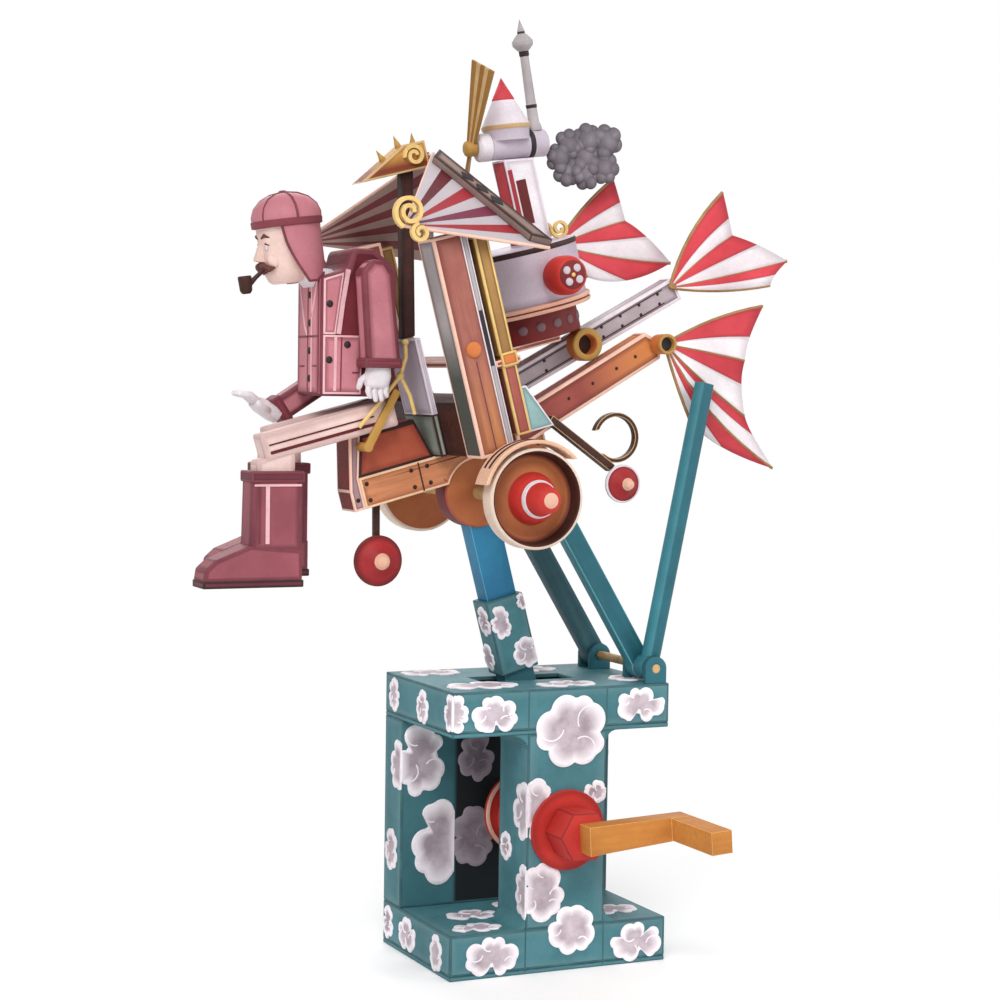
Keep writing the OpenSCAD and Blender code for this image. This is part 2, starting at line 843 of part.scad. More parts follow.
module lower_boom() {
  root_u = 14;
  root_l = 5;
  root_low = keel_top - 3;
  root_high = keel_top + 7;
  pin_end = fan_y - fan_knuckle_r - 1;
  color("brown") machine() union() {
    plate([
      [root_u, root_low], [root_u + root_l, root_low], [fan_u, fan_w - 5], [fan_u + 2, fan_w],
      [fan_u - 3.5, fan_w + 5], [root_u, root_high]
    ], lower_near, lower_far);
    bar_y(fan_u, fan_w, hinge_pin_r, pin_end, lower_near + cut);
  }
}

module tail_fan() {
  apex = [fan_u, fan_w];
  ribs = [[5, 41], [-24, 32], [-52, 40], [-59, 61]];
  heel = [3.6, -28];
  shoulder = 3;
  knuckle_end = fan_y - fan_knuckle_r / 2;
  color("salmon") machine() difference() {
    union() {
      bar_y(fan_u, fan_w, fan_knuckle_r, knuckle_end, lower_near - gap);
      plate(concat([apex + [0, shoulder]], fan_edge(apex, ribs, 0.95), [apex + heel]), fan_y, fan_y + ply);
      bar_y(fan_u + fan_pin_du, fan_w + fan_pin_dw, small_pin_r, pin_over - tail_rod_y, fan_y + ply);
    }
    bar_y(fan_u, fan_w, hinge_pin_r + run_fit, knuckle_end - cut, lower_near);
  }
}

module fixed_fans() {
  apex_back = 3;
  apex_rise = 1;
  boom_apex = [boom_l - apex_back, boom_tip + apex_rise];
  boom_ribs = [[44, 39.5], [23, 31], [-2, 48.5], [-12, 40.5]];
  root_half = 3;
  dorsal_y = 7;
  dorsal_root = sqrt(boiler_r * boiler_r - dorsal_y * dorsal_y) + gap;
  dorsal_apex = [boiler_u + dorsal_root, boiler_top - root_half];
  dorsal_ribs = [[33, 32], [5, 28], [-20.7, 45], [-56, 16]];
  color("salmon") machine() plate(concat(
    [boom_apex - [0, root_half], boom_apex + [0, root_half]], fan_edge(boom_apex, boom_ribs, 0.94)
  ), upper_near - ply, upper_near);
  color("salmon") machine() plate(concat(
    [dorsal_apex - [0, root_half], dorsal_apex + [0, root_half]], fan_edge(dorsal_apex, dorsal_ribs, 0.94)
  ), dorsal_y, dorsal_y + ply);
}

tail_wheel_u = 46.2;
tail_wheel_w = -9;
skid_near = lower_near - 4;

module tail_skid() {
  leg_w = 2.8;
  leg_angle = -50;
  leg_length = 29;
  leg_u = 26;
  leg_top = 19;
  eye_r = 3;
  pin_l = 6.5;
  scroll_t = 1.4;
  scroll_near = skid_near + 0.5;
  scroll_far = scroll_near + 3;
  scroll_back = 2.5;
  scroll_rise = 7;
  scroll_u = tail_wheel_u + scroll_back;
  scroll_w = tail_wheel_w + scroll_rise + scroll_r;
  mouth = 4.5;
  color("darkslategray") machine() union() {
    beam(leg_u, leg_top, leg_angle, leg_length, leg_w, skid_near, lower_near);
    bar_y(tail_wheel_u, tail_wheel_w, eye_r, skid_near, lower_near);
    bar_y(tail_wheel_u, tail_wheel_w, small_pin_r, skid_near - pin_l, lower_near);
  }
  color("saddlebrown") machine() difference() {
    bar_y(scroll_u, scroll_w, scroll_r, scroll_near, scroll_far);
    bar_y(scroll_u, scroll_w, scroll_r - scroll_t, scroll_near - cut, scroll_far + cut);
    block([scroll_u - 2 * scroll_r, scroll_near - cut, scroll_w - scroll_r + mouth],
      [scroll_u - scroll_t, scroll_far + cut, scroll_w + scroll_r / 2]);
  }
}

// Wheels
module main_wheel() {
  web_in = wheel_in + 1;
  mid = wheel_in + wheel_w / 2;
  bore = axle_d / 2 + run_fit;
  rim_in = wheel_r - rim_t;
  neck_r = hub_r - 2.5;
  tip_r = hub_r - 3;
  machine() rotate([90, 0, 0]) rotate_extrude() polygon([
    [bore, web_in], [rim_in, web_in], [rim_in, wheel_in], [wheel_r, wheel_in], [wheel_r, wheel_out],
    [rim_in, wheel_out], [rim_in, mid], [hub_r, mid], [neck_r, wheel_out + 1], [tip_r, hub_out],
    [0, hub_out], [0, hub_out - hub_cap], [bore, hub_out - hub_cap]
  ]);
}

module near_wheel() {
  color("orange") main_wheel();
}

module far_wheel() {
  color("orange") mirror([0, 1, 0]) main_wheel();
}

module wheel_arches() {
  in_r = wheel_r + arch_gap;
  out_r = in_r + ply;
  foot_w = 9;
  near = -wheel_out - 1;
  color("wheat") machine() pair() difference() {
    bar_y(0, 0, out_r, near, -cabin_half);
    bar_y(0, 0, in_r, near - cut, cut - cabin_half);
    block([-2 * out_r, near - cut, -2 * out_r], [2 * out_r, cut - cabin_half, foot_w]);
  }
}

// Small wheels: a flat rim with a cone that narrows to its tip on the near side
module small_wheel(u, w, r, y0, y1) {
  rim = 1.5;
  lip = 0.8;
  tip_r = 2;
  width = y1 - y0;
  machine() difference() {
    translate([u, y1, w]) rotate([90, 0, 0]) rotate_extrude() polygon([
      [0, 0], [r, 0], [r, rim], [r - lip, rim], [tip_r, width], [0, width]
    ]);
    bar_y(u, w, small_pin_r + run_fit, y0 - cut, y1 + cut);
  }
}

nose_u = -40;
nose_w = -12.7;
nose_half = 1.5;
small_wheel_w = 5.5;

module nose_link() {
  top_u = nose_u + 4;
  top_l = 3.5;
  foot_half = 2;
  foot_w = nose_w - 2;
  pin_l = small_wheel_w + 1.5;
  color("black") machine() union() {
    plate([
      [top_u, keel_z], [top_u + top_l, keel_z], [nose_u + foot_half, foot_w], [nose_u - foot_half, foot_w]
    ], -nose_half, nose_half);
    bar_y(nose_u, nose_w, small_pin_r, -nose_half - pin_l, 0);
  }
}

module nose_wheel() {
  y1 = -nose_half - gap;
  color("red") small_wheel(nose_u, nose_w, nose_r, y1 - small_wheel_w, y1);
}

module tail_wheel() {
  y1 = skid_near - gap;
  color("red") small_wheel(tail_wheel_u, tail_wheel_w, tail_r, y1 - small_wheel_w, y1);
}

// Pilot: x and z run from the seat, with the face towards -X
leg_y = 8;
thigh_drop = pitch;
hip_x = 3;
hip_z = hip_x * tan(thigh_drop) + thigh_t / (2 * cos(thigh_drop)) + glue_fit;
knee_x = hip_x - thigh_l * cos(thigh_drop);
knee_z = hip_z - thigh_l * sin(thigh_drop);
far_leg_back = 8;
torso_x = -23;
torso_back = torso_x + torso_d;
torso_z = hip_z + thigh_t / 2 + gap;
torso_top = torso_z + torso_h;
collar_x = torso_x + 10;
collar_h = 7.5;
neck_z = torso_top - collar_h;

module pilot_torso() {
  shoulder = 8;
  slope = 6;
  chest_drop = 2;
  color("palevioletred") upright() plate([
    [torso_x, torso_z], [torso_back, torso_z], [torso_back, torso_top - slope],
    [torso_back - shoulder, torso_top], [collar_x, torso_top], [collar_x, neck_z],
    [torso_x, neck_z - chest_drop]
  ], -torso_w / 2, torso_w / 2);
}

// Frame of the head, leaning forward above the collar
module head_frame() {
  lean = 8;
  drop = 2;
  forward = 6;
  upright() translate([torso_x - forward, 0, neck_z - drop + gap]) rotate([0, -lean, 0]) children();
}

module pilot_head() {
  nose_d = 4;
  nose_low = 4;
  nose_h = 6;
  color("mistyrose") head_frame() {
    cylinder(r = head_r, h = face_h);
    translate([-head_r - nose_d / 2, -nose_d / 2, nose_low]) cube([nose_d, nose_d, nose_h]);
  }
}

module pilot_cap() {
  brim = 1;
  bulge = 1.5;
  color("lightpink") head_frame() translate([0, 0, face_h]) rotate_extrude() polygon([
    [0, 0], [head_r + brim, 0], [head_r + bulge, 0.3 * cap_h], [head_r, 0.7 * cap_h],
    [head_r - 5, cap_h], [0, cap_h]
  ]);
}

module pilot_pipe() {
  pipe_y = -3;
  bowl_r = 2.2;
  bowl_h = 5.5;
  bowl_low = -4;
  stem_r = 0.9;
  stem_l = 8;
  droop = 32;
  lips_x = -sqrt(head_r * head_r - pipe_y * pipe_y) - stem_r * sin(droop) - glue_fit;
  lips_z = 3;
  bowl_x = lips_x - stem_l * cos(droop);
  color("black") head_frame() union() {
    translate([bowl_x, pipe_y, bowl_low]) cylinder(r = bowl_r, h = bowl_h);
    translate([lips_x, pipe_y, lips_z]) rotate([0, -90 - droop, 0]) cylinder(r = stem_r, h = stem_l);
  }
}

module pilot_arms() {
  shoulder_z = torso_top - 4;
  elbow_z = shoulder_z - sleeve_arm_l;
  arm_inset = 12;
  arm_x = torso_x + arm_inset;
  glove_x = arm_x - 1;
  glove_w = 11;
  glove_h = 9;
  glove_d = arm_d - 2;
  reach = 28;
  reach_angle = 213;
  forearm_w = 8;
  outer = -torso_w / 2 - arm_d - gap;
  inner = outer + arm_d;
  color("palevioletred") upright() union() {
    block([arm_x, outer, elbow_z], [arm_x + arm_w, inner, shoulder_z]);
    block([glove_x, outer, elbow_z - glove_h], [glove_x + glove_w, outer + glove_d, elbow_z]);
  }
  color("palevioletred") upright() mirror([0, 1, 0]) translate([0, inner, 0]) rotate([90, 0, 0])
    linear_extrude(arm_d) union() {
      translate([arm_x, elbow_z]) square([arm_w, sleeve_arm_l]);
      translate([arm_x + arm_w / 2, elbow_z]) rotate(reach_angle) translate([0, -forearm_w / 2])
        square([reach, forearm_w]);
    }
}

module leg(shift) {
  y0 = leg_y - leg_w / 2;
  beam(hip_x, hip_z, 180 + thigh_drop, thigh_l - shift, thigh_t, y0, y0 + leg_w);
}

module pilot_legs() {
  color("pink") upright() {
    mirror([0, 1, 0]) leg(0);
    leg(far_leg_back);
  }
}

module boot(shift) {
  shaft_w = 17;
  shin_inset = 2;
  instep = 12;
  toe_h = 9;
  cap_l = 4;
  tip_h = 5;
  shin_top = knee_z + shift * sin(thigh_drop) - thigh_t / 2 - gap;
  boot_top = shin_top - 2.5;
  sole = boot_top - boot_h;
  heel = knee_x + shift * cos(thigh_drop) + 13;
  toe = heel - foot_l;
  front = heel - shaft_w;
  plate([
    [heel, boot_top], [front, boot_top], [front - 1, sole + instep], [toe + cap_l, sole + toe_h],
    [toe, sole + tip_h], [toe, sole], [heel, sole]
  ], leg_y - boot_w / 2, leg_y + boot_w / 2);
  block([front + shin_inset, leg_y - leg_w / 2, boot_top], [heel - shin_inset, leg_y + leg_w / 2, shin_top]);
}

module pilot_boots() {
  color("rosybrown") upright() {
    mirror([0, 1, 0]) boot(0);
    boot(far_leg_back);
  }
}

// Control lever beside the pilot's near thigh
module control_lever() {
  lever_t = 1.5;
  lever_w = 2.5;
  lever_l = 21;
  rise = 62;
  inset = 3;
  y1 = -leg_y - leg_w / 2 - gap;
  foot_u = inset - keel_front;
  foot_w = seat_top - 4;
  color("tan") machine() union() {
    beam(foot_u, foot_w, rise - pitch, lever_l, lever_w, y1 - lever_t, y1);
    bar_y(foot_u, foot_w, lever_t, y1 - lever_t, -keel_d / 2);
  }
}

base_plate();
bottom_box();
front_column();
back_wall();
top_floor();
top_box();
front_flange();
shaft_bushes();
hinge_lugs();
hinge_pin();
crank_shaft();
crank_collar();
crank_arm();
front_web();
rear_web();
near_strut();
far_strut();
strut_pin();
tail_rod();
main_rod();
rod_sleeve();
axle();
keel();
cross_beam();
seat_box();
seat_back();
roof_strut();
main_posts();
rear_posts();
deck();
boiler();
boiler_knob();
roof_panels();
roof_spars();
ridge_beak();
pylon();
engine();
chimney();
smoke_puff();
upper_boom();
lower_boom();
tail_skid();
fixed_fans();
wheel_arches();
nose_link();
control_lever();
pilot_torso();
pilot_head();
pilot_cap();
pilot_pipe();
pilot_arms();
pilot_legs();
pilot_boots();
near_wheel();
far_wheel();
nose_wheel();
tail_wheel();
propeller();
tail_fan();
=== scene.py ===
# %% [markdown]
# # A paper automaton
# A pilot rides a steam flying machine above a box printed with clouds, and everything is printed card. The
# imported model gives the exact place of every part, so this lesson dresses that frame: it loads it, reads
# its sizes, and replaces or paints each part. Trim that the solids leave out, such as seams, rivets and
# print, is then placed on them by measure.

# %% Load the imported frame
import json
import math

import bmesh
import bpy
from mathutils import Matrix, Vector


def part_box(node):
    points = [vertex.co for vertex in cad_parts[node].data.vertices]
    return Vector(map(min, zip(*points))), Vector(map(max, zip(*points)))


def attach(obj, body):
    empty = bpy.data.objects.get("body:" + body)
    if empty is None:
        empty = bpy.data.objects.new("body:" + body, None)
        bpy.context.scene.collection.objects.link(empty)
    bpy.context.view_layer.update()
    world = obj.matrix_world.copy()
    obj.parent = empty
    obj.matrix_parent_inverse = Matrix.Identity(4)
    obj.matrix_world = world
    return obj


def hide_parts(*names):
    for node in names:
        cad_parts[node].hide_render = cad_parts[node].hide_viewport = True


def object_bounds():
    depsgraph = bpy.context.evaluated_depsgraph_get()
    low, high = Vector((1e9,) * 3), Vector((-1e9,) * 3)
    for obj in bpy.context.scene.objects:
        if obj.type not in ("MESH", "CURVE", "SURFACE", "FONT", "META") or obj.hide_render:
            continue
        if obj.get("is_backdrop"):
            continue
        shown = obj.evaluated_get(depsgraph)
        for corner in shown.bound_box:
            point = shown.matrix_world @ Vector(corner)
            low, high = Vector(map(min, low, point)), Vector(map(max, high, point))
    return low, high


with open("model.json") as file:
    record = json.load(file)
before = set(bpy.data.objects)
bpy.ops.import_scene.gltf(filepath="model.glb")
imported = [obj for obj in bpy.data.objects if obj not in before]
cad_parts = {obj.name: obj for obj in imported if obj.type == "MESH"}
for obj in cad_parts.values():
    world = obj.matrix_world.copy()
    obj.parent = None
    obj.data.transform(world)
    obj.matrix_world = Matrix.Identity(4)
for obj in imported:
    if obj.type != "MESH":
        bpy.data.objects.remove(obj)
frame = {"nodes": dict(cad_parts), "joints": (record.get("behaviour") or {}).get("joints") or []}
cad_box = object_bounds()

MM = 0.001
joints = {joint["name"]: joint for joint in frame["joints"]}

# %% [markdown]
# The flying machine leans back by one angle, and its wheels' axle is the point that everything on it is
# measured from. With a matrix for that leaning frame, a point can be written as (along, across, up) in
# millimetres, as on a drawing of the machine by itself. The pilot sits upright, so they get their own
# frame.

# %% Frames to draw in
def at(place, x, y, z):
    """A point given in millimetres in one of the frames, in the world's metres."""
    return place @ (Vector((x, y, z)) * MM)


def moved(place, x, y, z):
    """The frame shifted to a point given in its own millimetres."""
    return place @ Matrix.Translation(Vector((x, y, z)) * MM)


def spun(place, degrees, axis):
    """The frame turned about one of its own axes."""
    return place @ Matrix.Rotation(math.radians(degrees), 4, axis)


PITCH_DEGREES = 15
ENGINE_TILT = 7.5
PITCH = math.radians(PITCH_DEGREES)
axle = Vector(joints["near_wheel_spin"]["pos_m"])
axle.y = 0
BOX = Matrix.Identity(4)
MACHINE = spun(Matrix.Translation(axle), -PITCH_DEGREES, "Y")
torso_low, torso_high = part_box("pilot_torso")
PILOT = Matrix.Translation((torso_high.x - 3 * MM, 0, torso_low.z - 10.28 * MM))
HEAD = spun(moved(PILOT, -29, 0, 49.08), -8, "Y")
prop_axis = Vector(joints["propeller_spin"]["pos_m"])
ENGINE = spun(Matrix.Translation((prop_axis.x, 0, prop_axis.z)), -ENGINE_TILT, "Y")
to_world = MACHINE.to_3x3()
ACROSS = Vector((0, 1, 0))
UP = Vector((0, 0, 1))
print("axle at", [round(c / MM, 1) for c in axle], "mm, machine pitched", PITCH_DEGREES, "degrees")

# %% [markdown]
# ## Card and ink
# All of it is one material, printed card, in many inks. What card shows close up is always alike: ink that
# lies in soft blotches, paper fibre that breaks up the shine, and edges where the fold has worn or where
# the artist drew a line. Each of these is a shader node group, built once, and every ink uses it with its
# own values.

# %% Shader groups
def colour(code):
    """Linear colour from a six-digit screen colour."""
    parts = [int(code[i:i + 2], 16) / 255 for i in (0, 2, 4)]
    return [p / 12.92 if p <= 0.04045 else ((p + 0.055) / 1.055) ** 2.4 for p in parts] + [1.0]


def feed(tree, socket, value):
    """Gives an input a link where another socket is given, and a plain value otherwise."""
    if isinstance(value, bpy.types.NodeSocket):
        tree.links.new(value, socket)
    else:
        socket.default_value = value


def add_node(tree, kind, inputs, **settings):
    """A new node with its settings made, and then its inputs fed by their names or numbers."""
    made = tree.nodes.new(kind)
    for name, value in settings.items():
        setattr(made, name, value)
    for name, value in inputs.items():
        feed(tree, made.inputs[name], value)
    return made


def start_group(name, inputs, outputs):
    """An empty shader group with named sockets, and its two end nodes."""
    tree = bpy.data.node_groups.new(name, "ShaderNodeTree")
    for label, kind, value in inputs:
        socket = tree.interface.new_socket(label, in_out="INPUT", socket_type="NodeSocket" + kind)
        socket.default_value = value
    for label, kind in outputs:
        tree.interface.new_socket(label, in_out="OUTPUT", socket_type="NodeSocket" + kind)
    return tree, tree.nodes.new("NodeGroupInput"), tree.nodes.new("NodeGroupOutput")


def on_object(tree):
    """The place on the object that is being coloured."""
    return tree.nodes.new("ShaderNodeTexCoord").outputs["Object"]


def blend_colours(tree, factor, first, second, how="MIX"):
    """Two colours, mixed by a factor."""
    inputs = {0: factor, 6: first, 7: second}
    return add_node(tree, "ShaderNodeMix", inputs, data_type="RGBA", blend_type=how).outputs[2]


def remap(tree, value, low, high, to_low, to_high, **settings):
    """A value taken from one range to another."""
    inputs = {"Value": value, "From Min": low, "From Max": high, "To Min": to_low, "To Max": to_high}
    return add_node(tree, "ShaderNodeMapRange", inputs, **settings).outputs["Result"]


def noise(tree, vector, scale, detail, roughness):
    """Soft random blotches between 0 and 1."""
    inputs = {"Vector": vector, "Scale": scale, "Detail": detail, "Roughness": roughness}
    return add_node(tree, "ShaderNodeTexNoise", inputs).outputs["Fac"]


def tint(tree, given, result, mask, tone):
    """Ends a group: lays a tone over the colour that it was given, where the mask says."""
    feed(tree, result.inputs["Color"], blend_colours(tree, mask, given.outputs["Color"], given.outputs[tone]))


WHITE = (1, 1, 1, 1)
card_print, card_in, card_out = start_group(
    "card_print",
    [("Ink", "Color", WHITE), ("Wash", "Color", WHITE), ("Patch", "Float", 70.0), ("Strength", "Float", 0.6)],
    [("Color", "Color"), ("Roughness", "Float"), ("Height", "Float")])
where = on_object(card_print)
blotch = noise(card_print, where, card_in.outputs["Patch"], 5.0, 0.62)
washed = blend_colours(card_print, remap(card_print, blotch, 0.36, 0.66, 0.0, card_in.outputs["Strength"]),
                       card_in.outputs["Ink"], card_in.outputs["Wash"])
fibre = noise(card_print, where, 1500.0, 3.0, 0.7)
fibre_tone = remap(card_print, fibre, 0.3, 0.7, 0.92, 1.05)
cast = remap(card_print, noise(card_print, where, 23.0, 2.0, 0.5), 0.3, 0.7, 0.82, 1.1)
uneven = blend_colours(card_print, 1.0, washed, cast, "MULTIPLY")
feed(card_print, card_out.inputs["Color"], blend_colours(card_print, 1.0, uneven, fibre_tone, "MULTIPLY"))
feed(card_print, card_out.inputs["Roughness"], remap(card_print, fibre, 0.3, 0.7, 0.5, 0.74))
feed(card_print, card_out.inputs["Height"], fibre)

# The edge tone is mostly print that fades to the border line. Where a piece marks points low for it, as in
# the fans' pleats and the wheels' dishes, it is painted shade.
edge_line, edge_in, edge_out = start_group(
    "edge_line", [("Color", "Color", WHITE), ("Tone", "Color", WHITE), ("Amount", "Float", 0.6)],
    [("Color", "Color")])
edge_mark = add_node(edge_line, "ShaderNodeAttribute", {}, attribute_name="edge")
near_edge = remap(edge_line, edge_mark.outputs["Fac"], 0.0, 1.0, edge_in.outputs["Amount"], 0.0)
tint(edge_line, edge_in, edge_out, near_edge, "Tone")

grain_print, grain_in, grain_out = start_group(
    "grain_print", [("Color", "Color", WHITE), ("Streak", "Color", WHITE), ("Amount", "Float", 0.5),
                    ("Turn", "Float", 0.0)],
    [("Color", "Color")])
turned_by = add_node(grain_print, "ShaderNodeVectorRotate",
                     {"Vector": on_object(grain_print), "Angle": grain_in.outputs["Turn"]},
                     rotation_type="Y_AXIS")
stretched = add_node(grain_print, "ShaderNodeMapping",
                     {"Vector": turned_by.outputs["Vector"], "Scale": (35, 520, 520)})
streaks = noise(grain_print, stretched.outputs["Vector"], 1.0, 4.0, 0.6)
in_streak = remap(grain_print, streaks, 0.42, 0.66, 0.0, grain_in.outputs["Amount"])
tint(grain_print, grain_in, grain_out, in_streak, "Streak")

ink_fade, fade_in, fade_out = start_group(
    "ink_fade", [("Color", "Color", WHITE), ("Tone", "Color", WHITE), ("Direction", "Vector", (1, 0, 0)),
                 ("Start", "Float", 0.0), ("End", "Float", 0.1)], [("Color", "Color")])
along = add_node(ink_fade, "ShaderNodeVectorMath", {0: on_object(ink_fade), 1: fade_in.outputs["Direction"]},
                 operation="DOT_PRODUCT")
faded = remap(ink_fade, along.outputs["Value"], fade_in.outputs["Start"], fade_in.outputs["End"], 0, 1)
tint(ink_fade, fade_in, fade_out, faded, "Tone")
print("shader groups:", [group.name for group in (card_print, edge_line, grain_print, ink_fade)])

# %% [markdown]
# An ink is then a short recipe: its colour, the colour of its blotches, and what else it has, such as a
# drawn edge, a wood grain or a fade to another ink. The fibre's height also feeds a faint bump.

# %% Inks
inks = {}
FIBRE_BUMP, FIBRE_DEPTH = 0.12, 0.2
CARD_GLOSS, COAT_ROUGHNESS = 0.35, 0.35


def ink(name, base, wash, patch, strength, edge=None, grain=None, fade=None, shine=0.0):
    """A printed card material. edge: (tone, amount). grain: (tone, amount, turn in radians).
    fade: (tone, direction, start, end), in mm along the direction."""
    material = bpy.data.materials.new(name)
    material.use_nodes = True
    tree = material.node_tree

    def group(kind, **inputs):
        """One of the shader groups, with its inputs fed."""
        return add_node(tree, "ShaderNodeGroup", inputs, node_tree=kind)

    card = group(card_print, Ink=colour(base), Wash=colour(wash), Patch=patch, Strength=strength)
    last = card
    if fade:
        last = group(ink_fade, Color=last.outputs["Color"], Tone=colour(fade[0]), Direction=fade[1],
                     Start=fade[2] * MM, End=fade[3] * MM)
    if grain:
        last = group(grain_print, Color=last.outputs["Color"], Streak=colour(grain[0]), Amount=grain[1],
                     Turn=grain[2])
    if edge:
        last = group(edge_line, Color=last.outputs["Color"], Tone=colour(edge[0]), Amount=edge[1])
    relief = add_node(tree, "ShaderNodeBump", {"Strength": FIBRE_BUMP, "Distance": FIBRE_DEPTH * MM,
                                               "Height": card.outputs["Height"]})
    shader = tree.nodes["Principled BSDF"]
    for label, value in (("Base Color", last.outputs["Color"]), ("Roughness", card.outputs["Roughness"]),
                         ("Normal", relief.outputs["Normal"]), ("Specular IOR Level", CARD_GLOSS),
                         ("Coat Weight", shine), ("Coat Roughness", COAT_ROUGHNESS)):
        feed(tree, shader.inputs[label], value)
    inks[name] = material


ink("teal_card", "4A7F88", "356870", 60, 0.9, edge=("5F8186", 0.5))
ink("teal_line", "31575E", "46757B", 120, 0.7)
# Painted shade: the back wall's inner face fades to near black towards the right.
ink("teal_inside_painted_shade", "3F727A", "2F5F67", 45, 0.8, fade=("0F1619", (1, 0, 0), -20.5, -19))
ink("cloud_white", "F8F3F7", "E9DDE6", 260, 0.7)
ink("cloud_core", "A2929A", "CDBFC7", 110, 1.0, edge=("F3EBF0", 0.85))
ink("wheel_red", "AE282B", "8F1D22", 90, 0.7, edge=("5E1117", 0.75))
ink("red_card", "CE3329", "B02621", 90, 0.7, edge=("8C1A18", 0.75))
ink("red_line", "E6B7A4", "D29C88", 160, 0.6)
ink("dark_red_card", "7C1D1C", "5C1415", 90, 0.7, edge=("4A0E10", 0.65))
ink("red_fold", "96201F", "841A1A", 120, 0.6)
ink("tan_card", "C98439", "B56E2A", 80, 0.7, edge=("935A23", 0.65), grain=("A56628", 0.4, 0.0))
ink("tan_line", "E8B672", "D79E55", 160, 0.6)
ink("blue_card", "2E86AE", "256F96", 60, 0.8, edge=("1B5475", 0.75), fade=("41757D", (0, 0, 1), 112, 110))
ink("blue_line", "6FB3CC", "4C97B8", 160, 0.6)
ink("dark_teal_card", "34606A", "274A51", 60, 0.8, edge=("1C363B", 0.75))
ink("rod_teal_card", "276A78", "1F5965", 60, 0.8, edge=("18414B", 0.75))
# Painted light on the rods: a lighter copy of their ink for the faces that look forward, and a pale fold line
# as a painted highlight.
ink("rod_painted_lit_card", "3A838F", "2F707D", 60, 0.8, edge=("245965", 0.75))
ink("rod_painted_highlight_line", "64A3AB", "4C8D97", 160, 0.6)
ink("plank_card", "CD885E", "BA744D", 60, 0.6, edge=("8E4F33", 0.75), grain=("9C6140", 0.6, PITCH))
ink("plank_line", "E7C3A2", "D9AD86", 200, 0.6)
ink("rust_card", "B65A40", "9A4531", 60, 0.8, edge=("7C2A1D", 0.75))
ink("brown_card", "AD6055", "96493F", 60, 0.8, edge=("6B2B26", 0.75),
    grain=("7F3A33", 0.5, PITCH + math.pi / 2))
ink("peach_line", "EBC3B0", "DDAB97", 160, 0.6)
ink("dark_brown_card", "4A241A", "331510", 80, 0.8, edge=("1F0B08", 0.65), grain=("2A120D", 0.6, PITCH))
ink("dark_line", "2B1512", "3E221C", 160, 0.6)
ink("gold_card", "BE9248", "A57A38", 70, 0.8, edge=("7E5522", 0.75), shine=0.1)
ink("gold_line", "DDBD7A", "CBA55F", 200, 0.6)
ink("orange_card", "D98445", "C56A30", 70, 0.8, edge=("8A3A1E", 0.85))
ink("gold_dark", "9C6D2C", "875A23", 80, 0.8)
ink("brass_card", "A27B47", "885F31", 70, 0.8, edge=("5A3D1C", 0.7))
ink("dish_card", "BC6E3E", "A05632", 60, 0.8, edge=("561F14", 0.85))
ink("rim_card", "E8D5C4", "D6BEAB", 90, 0.7, edge=("9A7862", 0.6))
ink("peach_card", "E6BBA3", "D9A389", 80, 0.7, edge=("B87B63", 0.65))
ink("mauve_card", "A5858A", "8C6C72", 60, 0.8, edge=("5A3E44", 0.75))
ink("grey_card", "B0A9A9", "978F91", 60, 0.7, edge=("4C4346", 0.7))
ink("lilac_card", "D0C4D0", "BAABBA", 50, 0.8, edge=("877588", 0.65))
ink("lilac_line", "DFD5DC", "CFC2CC", 200, 0.6)
ink("green_grey_card", "98A096", "7E887C", 60, 0.8, edge=("4A5348", 0.75))
# On the fans these two inks darken towards each stripe's sides: painted pleat shade.
ink("stripe_red", "CB3F49", "B52D38", 80, 0.7, edge=("7A1A25", 0.7))
ink("stripe_white", "EAE3E6", "D9CED3", 80, 0.8, edge=("A2979D", 0.75))
ink("stick_card", "A37F4E", "7F5E37", 120, 0.7, shine=0.1)
ink("stripe_maroon", "7A2730", "601B24", 80, 0.8, edge=("451019", 0.65))
ink("stripe_plum", "96405A", "7E2F48", 80, 0.8, edge=("5A1E33", 0.65))
# Painted shade: duller copies of the roof's stripe inks for its underside.
ink("under_tan_painted_shade", "D9C4B9", "C2AA9E", 60, 0.8, edge=("8A6E66", 0.65))
ink("under_maroon_painted_shade", "A2555C", "8C4249", 80, 0.8, edge=("6A2A32", 0.65))
ink("rib_card", "C9A878", "B08B5B", 120, 0.7, shine=0.1)
ink("spar_card", "8C756E", "755E57", 60, 0.8, edge=("3A2723", 0.75))
ink("smoke_card", "6C646C", "8F868E", 120, 0.9, edge=("3E363E", 0.75))
ink("pale_card", "E9E3E6", "D5CCD2", 90, 0.8, edge=("A798A0", 0.65))
ink("chimney_card", "BDB6B7", "9A9294", 90, 0.8, edge=("655D60", 0.65))
ink("pink_coat", "CA828B", "B56D78", 60, 0.8, edge=("7A3B46", 0.75))
ink("pink_line", "E2B5BA", "D3A0A7", 160, 0.6)
ink("coat_line", "6E2F3A", "82404A", 160, 0.6)
ink("pink_pale", "E6CCC5", "D6B6B0", 70, 0.8, edge=("B08A88", 0.5))
ink("cuff_card", "6C2B37", "55212C", 60, 0.8, edge=("34131B", 0.7))
ink("maroon_boot", "8E3F4B", "742F3B", 60, 0.8, edge=("451820", 0.75))
ink("boot_card", "98515B", "82404A", 60, 0.8, edge=("54232D", 0.75))
ink("face_card", "E9CDC3", "DDB5A9", 130, 0.7)
ink("hair_card", "6B3A33", "532923", 200, 0.8)
ink("glove_card", "EDE7EA", "D3C8CE", 110, 0.8, edge=("A5969E", 0.5))
ink("pin_stick", "C9A878", "AF8A57", 150, 0.8, grain=("8E6A3E", 0.6, math.pi / 2))
ink("shadow_card", "2A2226", "1C1619", 90, 0.6)
# Painted shade: a dim copy of the cloud inks for the dark part of the inner face.
ink("cloud_painted_shade", "8D7F88", "6A5F68", 160, 0.9, edge=("A79AA3", 0.6))
print("inks:", len(inks))

